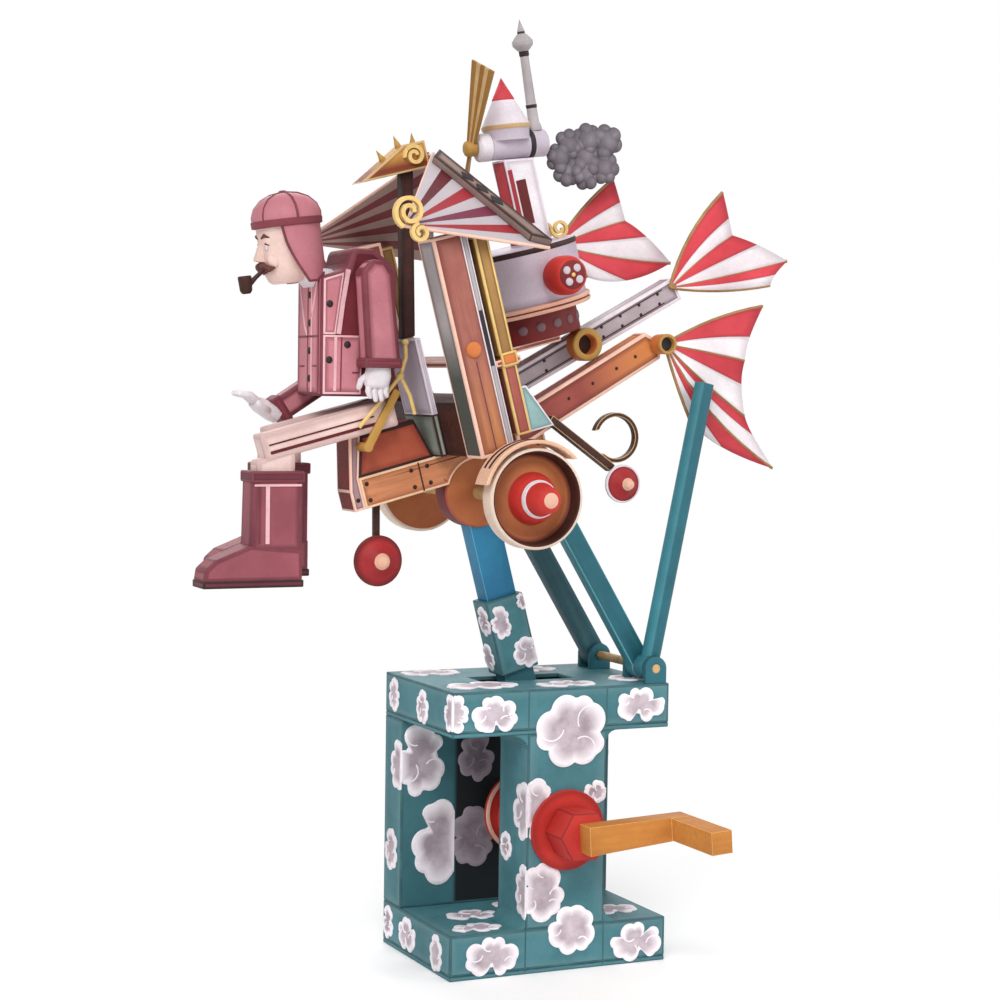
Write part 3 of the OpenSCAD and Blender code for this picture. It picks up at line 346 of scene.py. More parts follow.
# %% [markdown]
# ## Making card pieces
# A folded card part is never a perfect block. Its folds are slightly round, the print has a border line
# along each face, and the ink fades towards that line. So a part starts as a copy of the exact CAD solid,
# or as an outline cut from flat card, and is folded afterwards.

# %% Cutting card
def copied(node):
    """The CAD node's mesh with its triangles merged into whole faces."""
    bm = bmesh.new()
    bm.from_mesh(frame["nodes"][node].data)
    bmesh.ops.remove_doubles(bm, verts=bm.verts, dist=0.003 * MM)
    bmesh.ops.dissolve_limit(bm, angle_limit=math.radians(1), verts=bm.verts, edges=bm.edges)
    return bm


def slab(bm, first, second):
    """Closes the space between two like rows of points. Returns the faces: first row, second row, sides."""
    near, far = ([bm.verts.new(point) for point in row] for row in (first, second))
    faces = [bm.faces.new(near), bm.faces.new(far[::-1])]
    for i in range(len(near)):
        j = (i + 1) % len(near)
        faces.append(bm.faces.new((near[j], near[i], far[i], far[j])))
    bmesh.ops.recalc_face_normals(bm, faces=faces)
    return faces


def add_card(bm, outline, low, high, place):
    """Card cut to an outline of (x, z) points, with its thickness across from low to high, all in mm."""
    slab(bm, *([at(place, x, y, z) for x, z in outline] for y in (low, high)))


def both_sides(outline, inner, outer):
    """The same card on the near and the far side, between two distances from the middle."""
    return [(outline, *sorted((side * inner, side * outer))) for side in (-1, 1)]


def block_outline(x0, x1, z0, z1):
    """The four corners of a rectangle."""
    return [(x0, z0), (x1, z0), (x1, z1), (x0, z1)]


print("cutting tools ready")

# %% [markdown]
# `folded` does the same to every part: it rounds the folds with a small bevel, finds every flat face,
# insets a border ring, and marks how far each point is from an edge, which the ink reads.

# %% Folding card
BORDER_INK = 1


def edge_marks(bm):
    """The layer that holds how far each point is from an edge, from 0 to 1."""
    return bm.verts.layers.float.get("edge") or bm.verts.layers.float.new("edge")


def flat_regions(bm, skip):
    """Groups of joined faces that lie in one plane, leaving out the faces in skip."""
    seen, regions = set(skip), []
    for first in bm.faces:
        if first in seen:
            continue
        seen.add(first)
        region, queue = [], [first]
        while queue:
            face = queue.pop()
            region.append(face)
            for edge in face.edges:
                for other in edge.link_faces:
                    if other not in seen and other.normal.dot(first.normal) > 0.9995:
                        seen.add(other)
                        queue.append(other)
        regions.append(region)
    return regions


def folded(bm, rounding=0.3, border=0.8, fade=2.5, place=MACHINE, pick=None):
    """Rounds the folds, draws the border lines and marks the distance to an edge. pick(middle, normal) gives
    the ink's number for a flat face, both in the frame's own axes."""
    bm.normal_update()
    sharp = [e for e in bm.edges if len(e.link_faces) == 2 and e.calc_face_angle(0) > math.radians(35)]
    strips = bmesh.ops.bevel(bm, geom=sharp, offset=rounding * MM, segments=2, profile=0.5, affect="EDGES",
                             clamp_overlap=True)["faces"]
    bm.normal_update()
    edge = edge_marks(bm)
    strips = set(strips)
    for face in bm.faces:
        face.material_index = BORDER_INK if face in strips else 0
    for vert in bm.verts:
        vert[edge] = 0.0 if any(face in strips for face in vert.link_faces) else 1.0
    to_local = place.inverted()
    for region in flat_regions(bm, strips):
        area = sum(face.calc_area() for face in region)
        rim = [e for face in region for e in face.edges if sum(f in region for f in e.link_faces) == 1]
        length = sum(e.calc_length() for e in rim)
        width = 2 * area / length if length else 0
        middle = sum((f.calc_center_median() * f.calc_area() for f in region), Vector()) / max(area, 1e-12)
        normal = to_local.to_3x3() @ region[0].normal
        number = pick(to_local @ middle / MM, normal) if pick else 0
        for face in region:
            face.material_index = number
        if not border or width < 2.2 * border * MM:
            for vert in (v for face in region for v in face.verts):
                vert[edge] = max(vert[edge], 0.8)
            continue
        even = dict(faces=region, use_even_offset=True, use_boundary=True)
        for face in bmesh.ops.inset_region(bm, thickness=min(border * MM, 0.2 * width), **even)["faces"]:
            face.material_index = BORDER_INK
        bmesh.ops.inset_region(bm, thickness=min(fade * MM, 0.22 * width), **even)
        for face in region:
            for vert in face.verts:
                vert[edge] = 1.0
    return bm


def front_faces(middle, normal):
    """Ink 2 for what looks forwards."""
    return 2 if normal.x < -0.5 else 0


print("folding tools ready")

# %% [markdown]
# A finished mesh becomes an object, gets its inks, and is told which body it rides on, so that it moves
# with it. Where it stands for a part of the imported model, it also hides the part it replaces.

# %% Pieces
def piece(name, body, bm, names, replaces=(), smooth=38):
    """Turns the finished mesh into an object that rides on a body, in the inks named."""
    mesh = bpy.data.meshes.new(name)
    bm.to_mesh(mesh)
    bm.free()
    for label in names:
        mesh.materials.append(inks[label])
    mesh.polygons.foreach_set("use_smooth", [True] * len(mesh.polygons))
    mesh.set_sharp_from_angle(angle=math.radians(smooth))
    made = bpy.data.objects.new(name, mesh)
    bpy.context.scene.collection.objects.link(made)
    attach(made, body)
    if replaces:
        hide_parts(*replaces)
    return made


def card_node(node, body, names, slot=None, **how):
    """A CAD node as folded card."""
    return piece(node + "_card", body, folded(copied(node), **how), names, [node])


def card_piece(name, cards, names, replaces=(), slot=None, place=MACHINE, body="machine", **how):
    """Cards of (outline, low, high), cut, folded and inked as one piece."""
    bm = bmesh.new()
    for card in cards:
        add_card(bm, *card, place)
    return piece(name, body, folded(bm, place=place, **how), names, replaces)


def painted(node, name):
    """Keeps a CAD node's own shape and only gives it an ink."""
    mesh = frame["nodes"][node].data
    mesh.materials.clear()
    mesh.materials.append(inks[name])


print("pieces can be made")

# %% [markdown]
# Round parts, such as wheels, bosses and the boiler, are turned: a profile is written down as (distance
# along the axis, radius, ink) and spun. A small corner is cut off each point of the profile, as rolled card
# has no knife edge either.

# %% Turning tool
def turned(bm, profile, place, steps, soft=0.25):
    """Spins a profile of (along, radius, ink number of the band up to the next point) about the frame's Z.
    A fourth value says how far the point is from an edge, for the ink, from 0 to 1."""
    edge = edge_marks(bm)
    points = []
    for i, (z, r, number, *mark) in enumerate(profile):
        here = Vector((z, r))
        far = mark[0] if mark else 0.75
        if i in (0, len(profile) - 1):
            points.append((z, r, number, far))
            continue
        before, after = Vector(profile[i - 1][:2]) - here, Vector(profile[i + 1][:2]) - here
        a = here + before.normalized() * min(soft, before.length * 0.3)
        b = here + after.normalized() * min(soft, after.length * 0.3)
        points += [(a.x, a.y, number, far), (b.x, b.y, number, far)]
    rings = []
    for z, r, number, far in points:
        if r < 1e-6:
            rings.append([bm.verts.new(at(place, 0, 0, z))])
        else:
            turns = (2 * math.pi * i / steps for i in range(steps))
            rings.append([bm.verts.new(at(place, r * math.cos(a), r * math.sin(a), z)) for a in turns])
    made = []
    for band, (first, second) in enumerate(zip(rings, rings[1:])):
        for i in range(steps):
            j = (i + 1) % steps
            corners = [row[k % len(row)] for row, k in ((first, i), (first, j), (second, j), (second, i))]
            unique = list(dict.fromkeys(corners))
            if len(unique) > 2:
                face = bm.faces.new(unique)
                face.material_index = points[band][2]
                made.append(face)
    for ring, point in ((rings[0], points[0]), (rings[-1], points[-2])):
        if len(ring) > 1:
            face = bm.faces.new(ring)
            face.material_index = point[2]
            made.append(face)
    bmesh.ops.recalc_face_normals(bm, faces=made)
    for ring, point in zip(rings, points):
        for vert in ring:
            vert[edge] = point[3]


def turned_piece(name, body, profile, place, names, replaces=(), steps=48, soft=0.15):
    """A turned part in one go."""
    bm = bmesh.new()
    turned(bm, profile, place, steps, soft)
    return piece(name, body, bm, names, replaces)


def facing(place, x, y, z, side):
    """A frame at a point whose Z looks across the machine: to the near side for -1, to the far side for 1."""
    return spun(moved(place, x, y, z), -side * 90, "X")


print("turning tool ready")

# %% [markdown]
# ## The cloud box
# The base is a box of teal card: two slabs, a hollow column that carries the crank, and a back wall. Its
# parts are right in CAD already, so each is only folded. The wall's inner face darkens towards the right,
# which is painted shade: it makes the opening look deeper than it is.

# %% Box
for node in ("base_plate", "bottom_box", "top_floor", "top_box", "front_column"):
    card_node(node, "base", ["teal_card", "teal_line"], "teal_card", place=BOX, rounding=0.35, border=0.5,
              fade=4)
card_node("back_wall", "base", ["teal_card", "teal_line", "teal_inside_painted_shade"], "teal_card", place=BOX,
          rounding=0.35, border=0.5, fade=4, pick=lambda middle, normal: 2 if normal.y < -0.9 else 0)
card_node("hinge_lugs", "base", ["rod_teal_card", "teal_line"], "teal_card", place=BOX, rounding=0.25,
          border=0)
column_low, column_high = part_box("front_column")
floor_low, floor_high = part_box("bottom_box")
roof_low, roof_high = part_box("top_box")


def cove(x, z, reach, rise):
    """A fillet's outline in the corner at (x, z), which runs out by reach and up or down by rise."""
    turns = [math.pi / 2 * k / 8 for k in range(9)]
    return [(x, z)] + [(x + reach * (1 - math.sin(a)), z + rise * (1 - math.cos(a))) for a in turns]


cx0, cx1 = column_low.x / MM, column_high.x / MM
cz0, cz1 = column_low.z / MM, column_high.z / MM
column_depth = column_low.y / MM + 0.3, column_high.y / MM
corners = ((cx0, cz1, -7, -5), (cx1, cz1, 4, -4), (cx0, cz0, -4, 4), (cx1, cz0, 6, 6))
card_piece("column_coves", [(cove(*corner), *column_depth) for corner in corners], ["teal_card", "teal_line"],
           slot="teal_card", place=BOX, body="base", rounding=0.15, border=0.4, fade=1)
print("box:", [round((roof_high[k] - floor_low[k]) / MM) for k in range(3)], "mm")

# %% [markdown]
# ## Clouds
# The clouds are the box's whole decoration. A plain pattern of scattered clouds is made here: each is the
# outline of a ring of lobes, found by asking how far a ray from the middle gets before it leaves the last
# lobe. It is cut at the face's edge, as a print is, and has a white rim, a shaded middle and a few curls.
# They are thin paper laid on the card, so they catch the light at their edge; a texture would stay flat.
# Two small tools come first: a frame on a flat face, and a strip of paper that draws a line.

# %% Cloud tools
def wall(origin, right, up):
    """A frame on a flat face, with X to the right, Y up and Z out of the face."""
    right, up = Vector(right).normalized(), Vector(up).normalized()
    out = right.cross(up)
    frame_of_face = Matrix((right, up, out)).transposed().to_4x4()
    frame_of_face.translation = Vector(origin)
    return frame_of_face


def side_of(place, y, side):
    """A frame on a side face at depth y, near for side -1 and far for 1. X runs aft on the near face."""
    turn = place.to_3x3()
    return wall(at(place, 0, side * y, 0), turn @ Vector((-side, 0, 0)), turn @ UP)


def skin(bm, rings):
    """The faces that close a row of rings: its two ends, and a band between each two."""
    faces = [bm.faces.new(rings[0][::-1]), bm.faces.new(rings[-1])]
    for first, second in zip(rings, rings[1:]):
        faces += [bm.faces.new((first[i - 1], first[i], second[i], second[i - 1])) for i in range(len(first))]
    return faces


def drawn(bm, place, points, width, lift, number):
    """A drawn line: a strip of paper along (x, y) points on a face, with its ends square. Sizes in mm."""
    sections = []
    for i, (x, y) in enumerate(points):
        along = Vector(points[min(i + 1, len(points) - 1)]) - Vector(points[max(i - 1, 0)])
        side = Vector((-along.y, along.x)).normalized() * width / 2
        sections.append([bm.verts.new(at(place, x + s * side.x, y + s * side.y, h))
                         for s, h in ((-1, -0.1), (-1, lift), (1, lift), (1, -0.1))])
    faces = skin(bm, sections)
    for face in faces:
        face.material_index = number
    bmesh.ops.recalc_face_normals(bm, faces=faces)


LOBES, RAYS, CLOUD_LIFT = 8, 72, 0.45


def cloud(bm, place, limits, x, y, wide, tall, seed, rim=1.5):
    """One cloud on a face. limits: the face's (x0, x1, y0, y1), where it is cut. Inks: 0 rim, 1 middle."""
    lift = CLOUD_LIFT
    edge = edge_marks(bm)
    ring = [(0.0, 0.0, 0.25 * tall)]
    for i in range(LOBES):
        turn = 2 * math.pi * (i + 0.22 * math.sin(seed * 2.7 + i * 2.3)) / LOBES + seed
        size = (0.2 + 0.05 * math.sin(seed * 1.9 + i * 4.1)) * min(wide, tall)
        ring.append(((0.5 * wide - size) * math.cos(turn), (0.5 * tall - size) * math.sin(turn), size))
    outline = []
    for k in range(RAYS):
        a = 2 * math.pi * k / RAYS
        d = Vector((math.cos(a), math.sin(a)))
        reach = 0.2 * tall
        for lx, ly, size in ring:
            b = d.x * lx + d.y * ly
            inside = size * size - (lx * lx + ly * ly - b * b)
            if inside > 0:
                reach = max(reach, b + math.sqrt(inside))
        bounds = (x, d.x, limits[d.x > 0]), (y, d.y, limits[2 + (d.y > 0)])
        cut = min([reach] + [(bound - c) / part for c, part, bound in bounds if abs(part) > 1e-6])
        outline.append((d, cut, rim if cut > reach - 0.05 else 0.05))
    levels = []
    for reach_of, height, mark in (
            (lambda cut, band: cut, -0.15, 0.0), (lambda cut, band: cut, lift * 0.6, 0.0),
            (lambda cut, band: cut - min(0.25, 0.1 * cut), lift, 0.0),
            (lambda cut, band: max(cut - band, 0.5 * cut), lift, 0.0),
            (lambda cut, band: 0.55 * cut, lift * 0.75, 1.0)):
        reaches = [(d, reach_of(cut, band)) for d, cut, band in outline]
        levels.append([bm.verts.new(at(place, x + d.x * r, y + d.y * r, height)) for d, r in reaches])
        for vert in levels[-1]:
            vert[edge] = mark
    centre = bm.verts.new(at(place, x, y, lift * 0.75))
    centre[edge] = 1.0
    faces = [bm.faces.new(levels[0][::-1])]
    for k, (first, second) in enumerate(zip(levels, levels[1:])):
        for i in range(RAYS):
            faces.append(bm.faces.new((first[i - 1], first[i], second[i], second[i - 1])))
            faces[-1].material_index = k // 3
    for i in range(RAYS):
        faces.append(bm.faces.new((levels[-1][i - 1], levels[-1][i], centre)))
        faces[-1].material_index = 1
    bmesh.ops.recalc_face_normals(bm, faces=faces)
    for i, (lx, ly, size) in enumerate(ring[1:]):
        if (i + seed) % 3 < 1.2:
            outward = math.atan2(ly, lx)
            turns = [outward + 0.9 + 0.32 * n for n in range(8)]
            curl = [(x + lx + 0.8 * size * math.cos(t), y + ly + 0.8 * size * math.sin(t)) for t in turns]
            left, right, low, high = (limit + gap for limit, gap in zip(limits, (0.6, -0.6, 0.6, -0.6)))
            if all(left < px < right and low < py < high for px, py in curl):
                drawn(bm, place, curl, 0.45, lift + 0.12, 0)


print("cloud tools ready")

# %% [markdown]
# Every printed face then gets its clouds. A row gives the face, the limits at which a cloud is cut, and
# each cloud as (x, y, width, height, seed): the seed is a plain number that the lobes' sizes follow.

# %% Clouds on the box
x0, x1 = floor_low.x / MM, floor_high.x / MM
y0, y1 = floor_low.y / MM, floor_high.y / MM
slab_top, slab_under, top = floor_high.z / MM, roof_low.z / MM, roof_high.z / MM
wall_low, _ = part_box("back_wall")
wall_front = wall_low.y / MM
front = wall((0, floor_low.y, 0), (1, 0, 0), UP)
left = wall((floor_low.x, 0, 0), (0, -1, 0), UP)
right = wall((floor_high.x, 0, 0), (0, 1, 0), UP)
back = wall((0, floor_high.y, 0), (-1, 0, 0), UP)
column_left = wall((column_low.x, 0, 0), (0, -1, 0), UP)
column_right = wall((column_high.x, 0, 0), (0, 1, 0), UP)
inside = wall((0, wall_low.y, 0), (1, 0, 0), UP)
floor_face = wall((0, 0, floor_high.z), (1, 0, 0), (0, 1, 0))
roof_face = wall((0, 0, roof_high.z), (1, 0, 0), (0, 1, 0))
sky = bmesh.new()
for place, limits, spots in (
    (front, (cx0, cx1, 0, top), ((3.4, 80.5, 27, 25, 0.4), (4.5, 13.5, 18, 17, 1.3), (-9.5, 55, 13, 21, 2.2),
                                (-7, 27, 17, 20, 3.1), (12.5, 59.5, 9, 8, 0.9))),
    (front, (x0, x1, 0, slab_top), ((-25, 7, 20, 13.5, 4.2), (29, 7.2, 20, 13.5, 5.3))),
    (front, (x0, x1, slab_under, top), ((-25, 87, 17, 13, 6.1), (29, 88, 19, 12, 7.4),
                                        (-39, 88, 9, 13, 8.2))),
    (left, (-y1, -y0, slab_under, top), ((27, 88, 9, 13, 1.2), (4, 87, 10, 12, 2.6), (-21, 88, 9, 12, 3.3))),
    (left, (-y1, -y0, 0, slab_top), ((18, 7, 10, 13, 4.4), (-7, 7.5, 15, 12, 5.1), (-24, 8, 9, 12, 6.2))),
    (left, (-y1, -wall_front, slab_top, slab_under), ((-22, 34, 11, 15, 2.9), (-17, 64, 12, 18, 1.9))),
    (inside, (x0, -20, slab_top, slab_under), ((-33, 66, 19, 26, 3.7), (-25, 37, 22, 30, 4.6))),
    (column_left, (7, -y0, cz0, cz1), ((26, 54, 15, 20, 2.2), (27, 27, 12, 19, 3.4), (13, 40, 9, 10, 5.6))),
    (column_right, (y0, -7, cz0, cz1), ((-20, 30, 15, 17, 1.4), (-15, 62, 14, 19, 7.1))),
    (right, (y0, y1, 0, slab_top), ((-18, 7, 15, 12, 1.1), (2, 8, 13, 12, 2.4), (21, 7, 12, 11, 3.9))),
    (right, (y0, y1, slab_under, top), ((-20, 87, 14, 12, 4.1), (0, 88, 13, 12, 5.2), (20, 87, 13, 12, 6.7))),
    (right, (wall_front, y1, slab_top, slab_under), ((21, 64, 13, 18, 2.1), (22, 34, 12, 17, 4.9))),
    (back, (x0, x1, 0, top), ((-22, 72, 26, 22, 1.7), (16, 58, 28, 23, 2.8), (-17, 28, 25, 21, 3.6),
                              (22, 18, 22, 18, 4.8), (30, 86, 16, 14, 5.5), (-34, 50, 13, 15, 6.4),
                              (2, 9, 18, 13, 7.7))),
    (floor_face, (x0, x1, y0, wall_front), ((-21, -4, 19, 13, 2.5), (-27, -21, 18, 11, 3.2),
                                            (27, -14, 20, 13, 4.3), (0, 6, 17, 11, 0.3))),
    (roof_face, (x0, x1, y0, -6.8), ((-24, -16, 26, 16, 1.6), (5, -21, 22, 13, 2.7), (32, -14, 14, 14, 6.9))),
    (roof_face, (x0, x1, 6.8, y1), ((-27, 20, 22, 15, 3.5), (8, 18, 24, 15, 4.7))),
):
    for spot in spots:
        cloud(sky, place, limits, *spot)
piece("box_clouds", "base", sky, ["cloud_white", "cloud_core"])
# Clouds on the dark part of the inner face take the dim ink: painted shade.
shaded_clouds = bmesh.new()
for spot in ((-13, 38, 17, 22, 5.8), (-12, 66, 14, 18, 2.4), (20, 62, 22, 18, 0.8), (26, 32, 20, 17, 6.6)):
    cloud(shaded_clouds, inside, (-20, x1, slab_top, slab_under), *spot)
piece("box_clouds_in_shade", "base", shaded_clouds, ["cloud_painted_shade", "cloud_painted_shade"])
seams = bmesh.new()
for edge_x in (cx0, cx1):
    for low, high in ((0.8, slab_top), (slab_under, top - 0.8)):
        drawn(seams, front, [(edge_x, low), (edge_x, high)], 0.45, 0.08, 0)
piece("box_seams", "base", seams, ["teal_line"])
print("clouds on the box placed")

# %% [markdown]
# ## Crank
# The crank is the one part meant for a hand: a red bearing ring, a six-sided collar, and a bar of folded
# tan card. Its folds are paler, as the print stops there. Pins, shaft and axle are plain wooden sticks.

# %% Crank
for node in ("front_flange", "shaft_bushes"):
    card_node(node, "base", ["red_card", "red_card"], "red_card", place=BOX, rounding=0.3, border=0.5, fade=3)
card_node("crank_collar", "crank", ["red_card", "red_fold"], "red_card", place=BOX, rounding=0.4, border=0)
card_node("crank_arm", "crank", ["tan_card", "tan_line"], "tan_card", place=BOX, rounding=0.45, border=0)
for node in ("front_web", "rear_web"):
    card_node(node, "crank", ["red_card", "red_line"], "red_card", place=BOX, rounding=0.3, border=1.0,
              fade=2)
for node in ("crank_shaft", "hinge_pin", "strut_pin", "axle"):
    painted(node, "pin_stick")
print("crank dressed")

# %% [markdown]
# ## Rods
# A blue rod from the crank carries the machine and passes through the box's slot in a cloud-printed sleeve.
# Two flat struts and a tail rod steer it. Their ink is darker, the far strut's a little darker still as
# painted shade, and the near ones carry painted highlights: a light line on each fold and lighter faces at
# the front.

# %% Rods
card_node("main_rod", "machine", ["blue_card", "blue_line"], "blue_card", rounding=0.4, border=0)
card_node("rod_sleeve", "machine", ["teal_card", "teal_line"], "teal_card", rounding=0.3, border=0.4, fade=3)
# The rods' faces that look forward take the lighter ink and their folds the pale line: painted light.
rod_inks = ["rod_teal_card", "rod_painted_highlight_line", "rod_painted_lit_card"]
rod_folds = dict(place=BOX, border=0, pick=front_faces)
card_node("near_strut", "struts", rod_inks, "dark_teal_card", rounding=0.35, **rod_folds)
# The far strut's own, slightly darker teal ink is painted shade, as it lies behind.
card_node("far_strut", "struts", ["dark_teal_card", "teal_line"], "dark_teal_card", place=BOX, rounding=0.35,
          border=0)
card_node("tail_rod", "tail_link", rod_inks, "rod_teal_card", rounding=0.25, **rod_folds)
sleeve_half, sleeve_depth, sleeve_low, sleeve_high = 7, 5.5, -63, -37
puffs = bmesh.new()
for side, spots in ((-1, ((-3.2, -45, 7.5, 12, 1.2), (3.5, -57.5, 10, 11, 2.3), (6, -40, 4, 6, 3.1))),
                    (1, ((2, -46, 9, 12, 4.2), (-4, -58, 8, 10, 5.3)))):
    face_frame = side_of(MACHINE, sleeve_depth, side)
    for spot in spots:
        cloud(puffs, face_frame, (-sleeve_half, sleeve_half, sleeve_low, sleeve_high), *spot, rim=0.8)
for side, spots in ((-1, ((1, -44, 9, 11, 6.2), (-2, -57, 8, 10, 7.3))), (1, ((0, -48, 9, 12, 8.2),))):
    face_frame = wall(at(MACHINE, side * sleeve_half, 0, 0), to_world @ (side * ACROSS), to_world @ UP)
    for spot in spots:
        cloud(puffs, face_frame, (-sleeve_depth, sleeve_depth, sleeve_low, sleeve_high), *spot, rim=0.8)
piece("sleeve_clouds", "machine", puffs, ["cloud_white", "cloud_core"])
print("rods dressed")

# %% [markdown]
# ## Rivets and ribs
# Rows of small things are one shape placed many times, so two Geometry Nodes trees make them. `studs` puts
# a flat dome on every point and turns it to the point's own direction; `ribs` runs a thin round stick along
# every edge. Their sizes and ink are named inputs, and the result becomes a plain mesh before it joins a
# body.

# %% Geometry Nodes trees
def start_tree(name, numbers):
    """A geometry tree with a Geometry input, number inputs and an Ink input, and its two end nodes."""
    tree = bpy.data.node_groups.new(name, "GeometryNodeTree")
    tree.interface.new_socket("Geometry", in_out="INPUT", socket_type="NodeSocketGeometry")
    for label in numbers:
        tree.interface.new_socket(label, in_out="INPUT", socket_type="NodeSocketFloat").default_value = MM
    tree.interface.new_socket("Ink", in_out="INPUT", socket_type="NodeSocketMaterial")
    tree.interface.new_socket("Geometry", in_out="OUTPUT", socket_type="NodeSocketGeometry")
    return tree, tree.nodes.new("NodeGroupInput"), tree.nodes.new("NodeGroupOutput")


def end_tree(tree, given, geometry, result):
    """Realizes the instances, shades them smooth and inks them."""
    for kind in ("GeometryNodeRealizeInstances", "GeometryNodeSetShadeSmooth", "GeometryNodeSetMaterial"):
        node = add_node(tree, kind, {"Geometry": geometry})
        geometry = node.outputs["Geometry"]
    feed(tree, node.inputs["Material"], given.outputs["Ink"])
    feed(tree, result.inputs["Geometry"], geometry)


studs, given, result = start_tree("studs", ("Radius", "Height"))
dome = add_node(studs, "GeometryNodeMeshUVSphere", {"Segments": 14, "Rings": 7, "Radius": 1})
wide, tall = given.outputs["Radius"], given.outputs["Height"]
size = add_node(studs, "ShaderNodeCombineXYZ", {"X": wide, "Y": wide, "Z": tall})
towards = add_node(studs, "GeometryNodeInputNamedAttribute", {"Name": "facing"}, data_type="FLOAT_VECTOR")
turn_to = add_node(studs, "FunctionNodeAlignRotationToVector", {"Vector": towards.outputs["Attribute"]},
                   axis="Z")
spread = add_node(studs, "GeometryNodeInstanceOnPoints",
                  {"Points": given.outputs["Geometry"], "Instance": dome.outputs["Mesh"],
                   "Rotation": turn_to.outputs["Rotation"], "Scale": size.outputs["Vector"]})
end_tree(studs, given, spread.outputs["Instances"], result)

ribs, given, result = start_tree("ribs", ("Radius",))
path = add_node(ribs, "GeometryNodeMeshToCurve", {"Mesh": given.outputs["Geometry"]})
stick = add_node(ribs, "GeometryNodeCurvePrimitiveCircle",
                 {"Resolution": 8, "Radius": given.outputs["Radius"]})
sweep = add_node(ribs, "GeometryNodeCurveToMesh", {"Curve": path.outputs["Curve"], "Fill Caps": True,
                                                   "Profile Curve": stick.outputs["Curve"]})
end_tree(ribs, given, sweep.outputs["Mesh"], result)


def grown(name, body, mesh, tree, values):
    """Runs a geometry tree on a mesh, keeps its result as a plain mesh and lets it ride on the body."""
    made = bpy.data.objects.new(name, mesh)
    bpy.context.scene.collection.objects.link(made)
    modifier = made.modifiers.new(name, "NODES")
    modifier.node_group = tree
    for item in tree.interface.items_tree:
        if item.in_out == "INPUT" and item.name in values:
            modifier[item.identifier] = values[item.name]
    plain = bpy.data.meshes.new_from_object(made.evaluated_get(bpy.context.evaluated_depsgraph_get()))
    made.modifiers.clear()
    made.data = plain
    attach(made, body)
    return made


def studded(name, body, spots, radius, height, label):
    """Domes at (point, direction) spots. Sizes in mm."""
    mesh = bpy.data.meshes.new(name)
    mesh.from_pydata([spot[0] for spot in spots], [], [])
    facing_of = mesh.attributes.new("facing", "FLOAT_VECTOR", "POINT")
    facing_of.data.foreach_set("vector", [c for spot in spots for c in Vector(spot[1]).normalized()])
    return grown(name, body, mesh, studs, {"Radius": radius * MM, "Height": height * MM, "Ink": inks[label]})


def ribbed(name, body, lines, radius, label):
    """Round sticks along lists of points."""
    points, edges = [], []
    for line in lines:
        edges += [(len(points) + i, len(points) + i + 1) for i in range(len(line) - 1)]
        points += [tuple(p) for p in line]
    mesh = bpy.data.meshes.new(name)
    mesh.from_pydata(points, edges, [])
    return grown(name, body, mesh, ribs, {"Radius": radius * MM, "Ink": inks[label]})


print("geometry trees:", studs.name, ribs.name)

# %% [markdown]
# ## Keel and seat
# The keel is a printed plank with rivets, and the seat is a rust-red box that stands on it, closed at the
# front by a slanted post. The solid in CAD is one piece, but on the card they are two colours that meet at
# a fold, so it is cut again here from the same outline as two pieces.

# %% Keel and seat
card_node("keel", "machine", ["plank_card", "plank_line", "dark_brown_card"], "tan_card", border=0.5, fade=2,
          pick=lambda middle, normal: 2 if middle.z < 5 and middle.x > 10 else 0)
card_node("cross_beam", "machine", ["dark_brown_card", "dark_line"], "brown_card", border=0.5)
card_piece("seat_panels", [([(-41, 16), (-37, 30), (-17.5, 30), (-13.5, 16)], -6, 6)],
           ["rust_card", "dark_line"], ["seat_box"], "red_card", border=0.6, fade=3)
front_post = [(-45, 5.5), (-41, 5.5), (-41, 16), (-37, 30), (-41, 30), (-45, 12.5)]
# The post's faces that look forward take the dark red ink: painted shade.
card_piece("seat_front_post", [(front_post, -6.05, 6.05)],
           ["mauve_card", "peach_line", "dark_red_card"], ["seat_box"], "red_card", border=0.5, fade=1,
           pick=lambda middle, normal: 2 if normal.x < -0.3 else 0)
card_piece("seat_back_upper", [(block_outline(-13, -11, 30, 56), -12, 12)], ["lilac_card", "lilac_line"],
           ["seat_back"], "lilac_card", rounding=0.25, border=0.5, fade=2)
card_piece("seat_back_lower", [(block_outline(-13.2, -11, 16, 30.3), -12.2, 12.2)],
           ["green_grey_card", "dark_line"], ["seat_back"], "lilac_card", rounding=0.25, border=0.4, fade=3)
rivets = [(at(MACHINE, u, side * 6.05, w), side * ACROSS) for side in (-1, 1)
          for u, w in ((-43, 9), (-38.8, 8), (-38.8, 13.5), (-22.5, 8), (-22.5, 13.7), (-16.6, 8),
                       (-16.6, 13.7), (17, 13.5), (25, 10.5))]
studded("keel_rivets", "machine", rivets, 0.75, 0.35, "dark_brown_card")
lines = bmesh.new()
for side in (-1, 1):
    keel_side = side_of(MACHINE, 6, side)
    for u in (-19.5, 14):
        drawn(lines, keel_side, [(-side * u, 5.9), (-side * u, 15.6)], 0.5, 0.12, 0)
    drawn(lines, keel_side, [(side * 36.6, 29), (side * 18, 29)], 1.2, 0.15, 0)
piece("keel_seams", "machine", lines, ["dark_line"])
print("keel and seat dressed,", len(rivets), "rivets")

# %% [markdown]
# ## Posts and deck
# Two box posts carry the roof. Their near faces are brown with a pale line at each fold, and their front
# faces are grey, so the faces take different inks by the way they look. A gold pair of posts stands behind
# them, and the deck between carries the boiler.

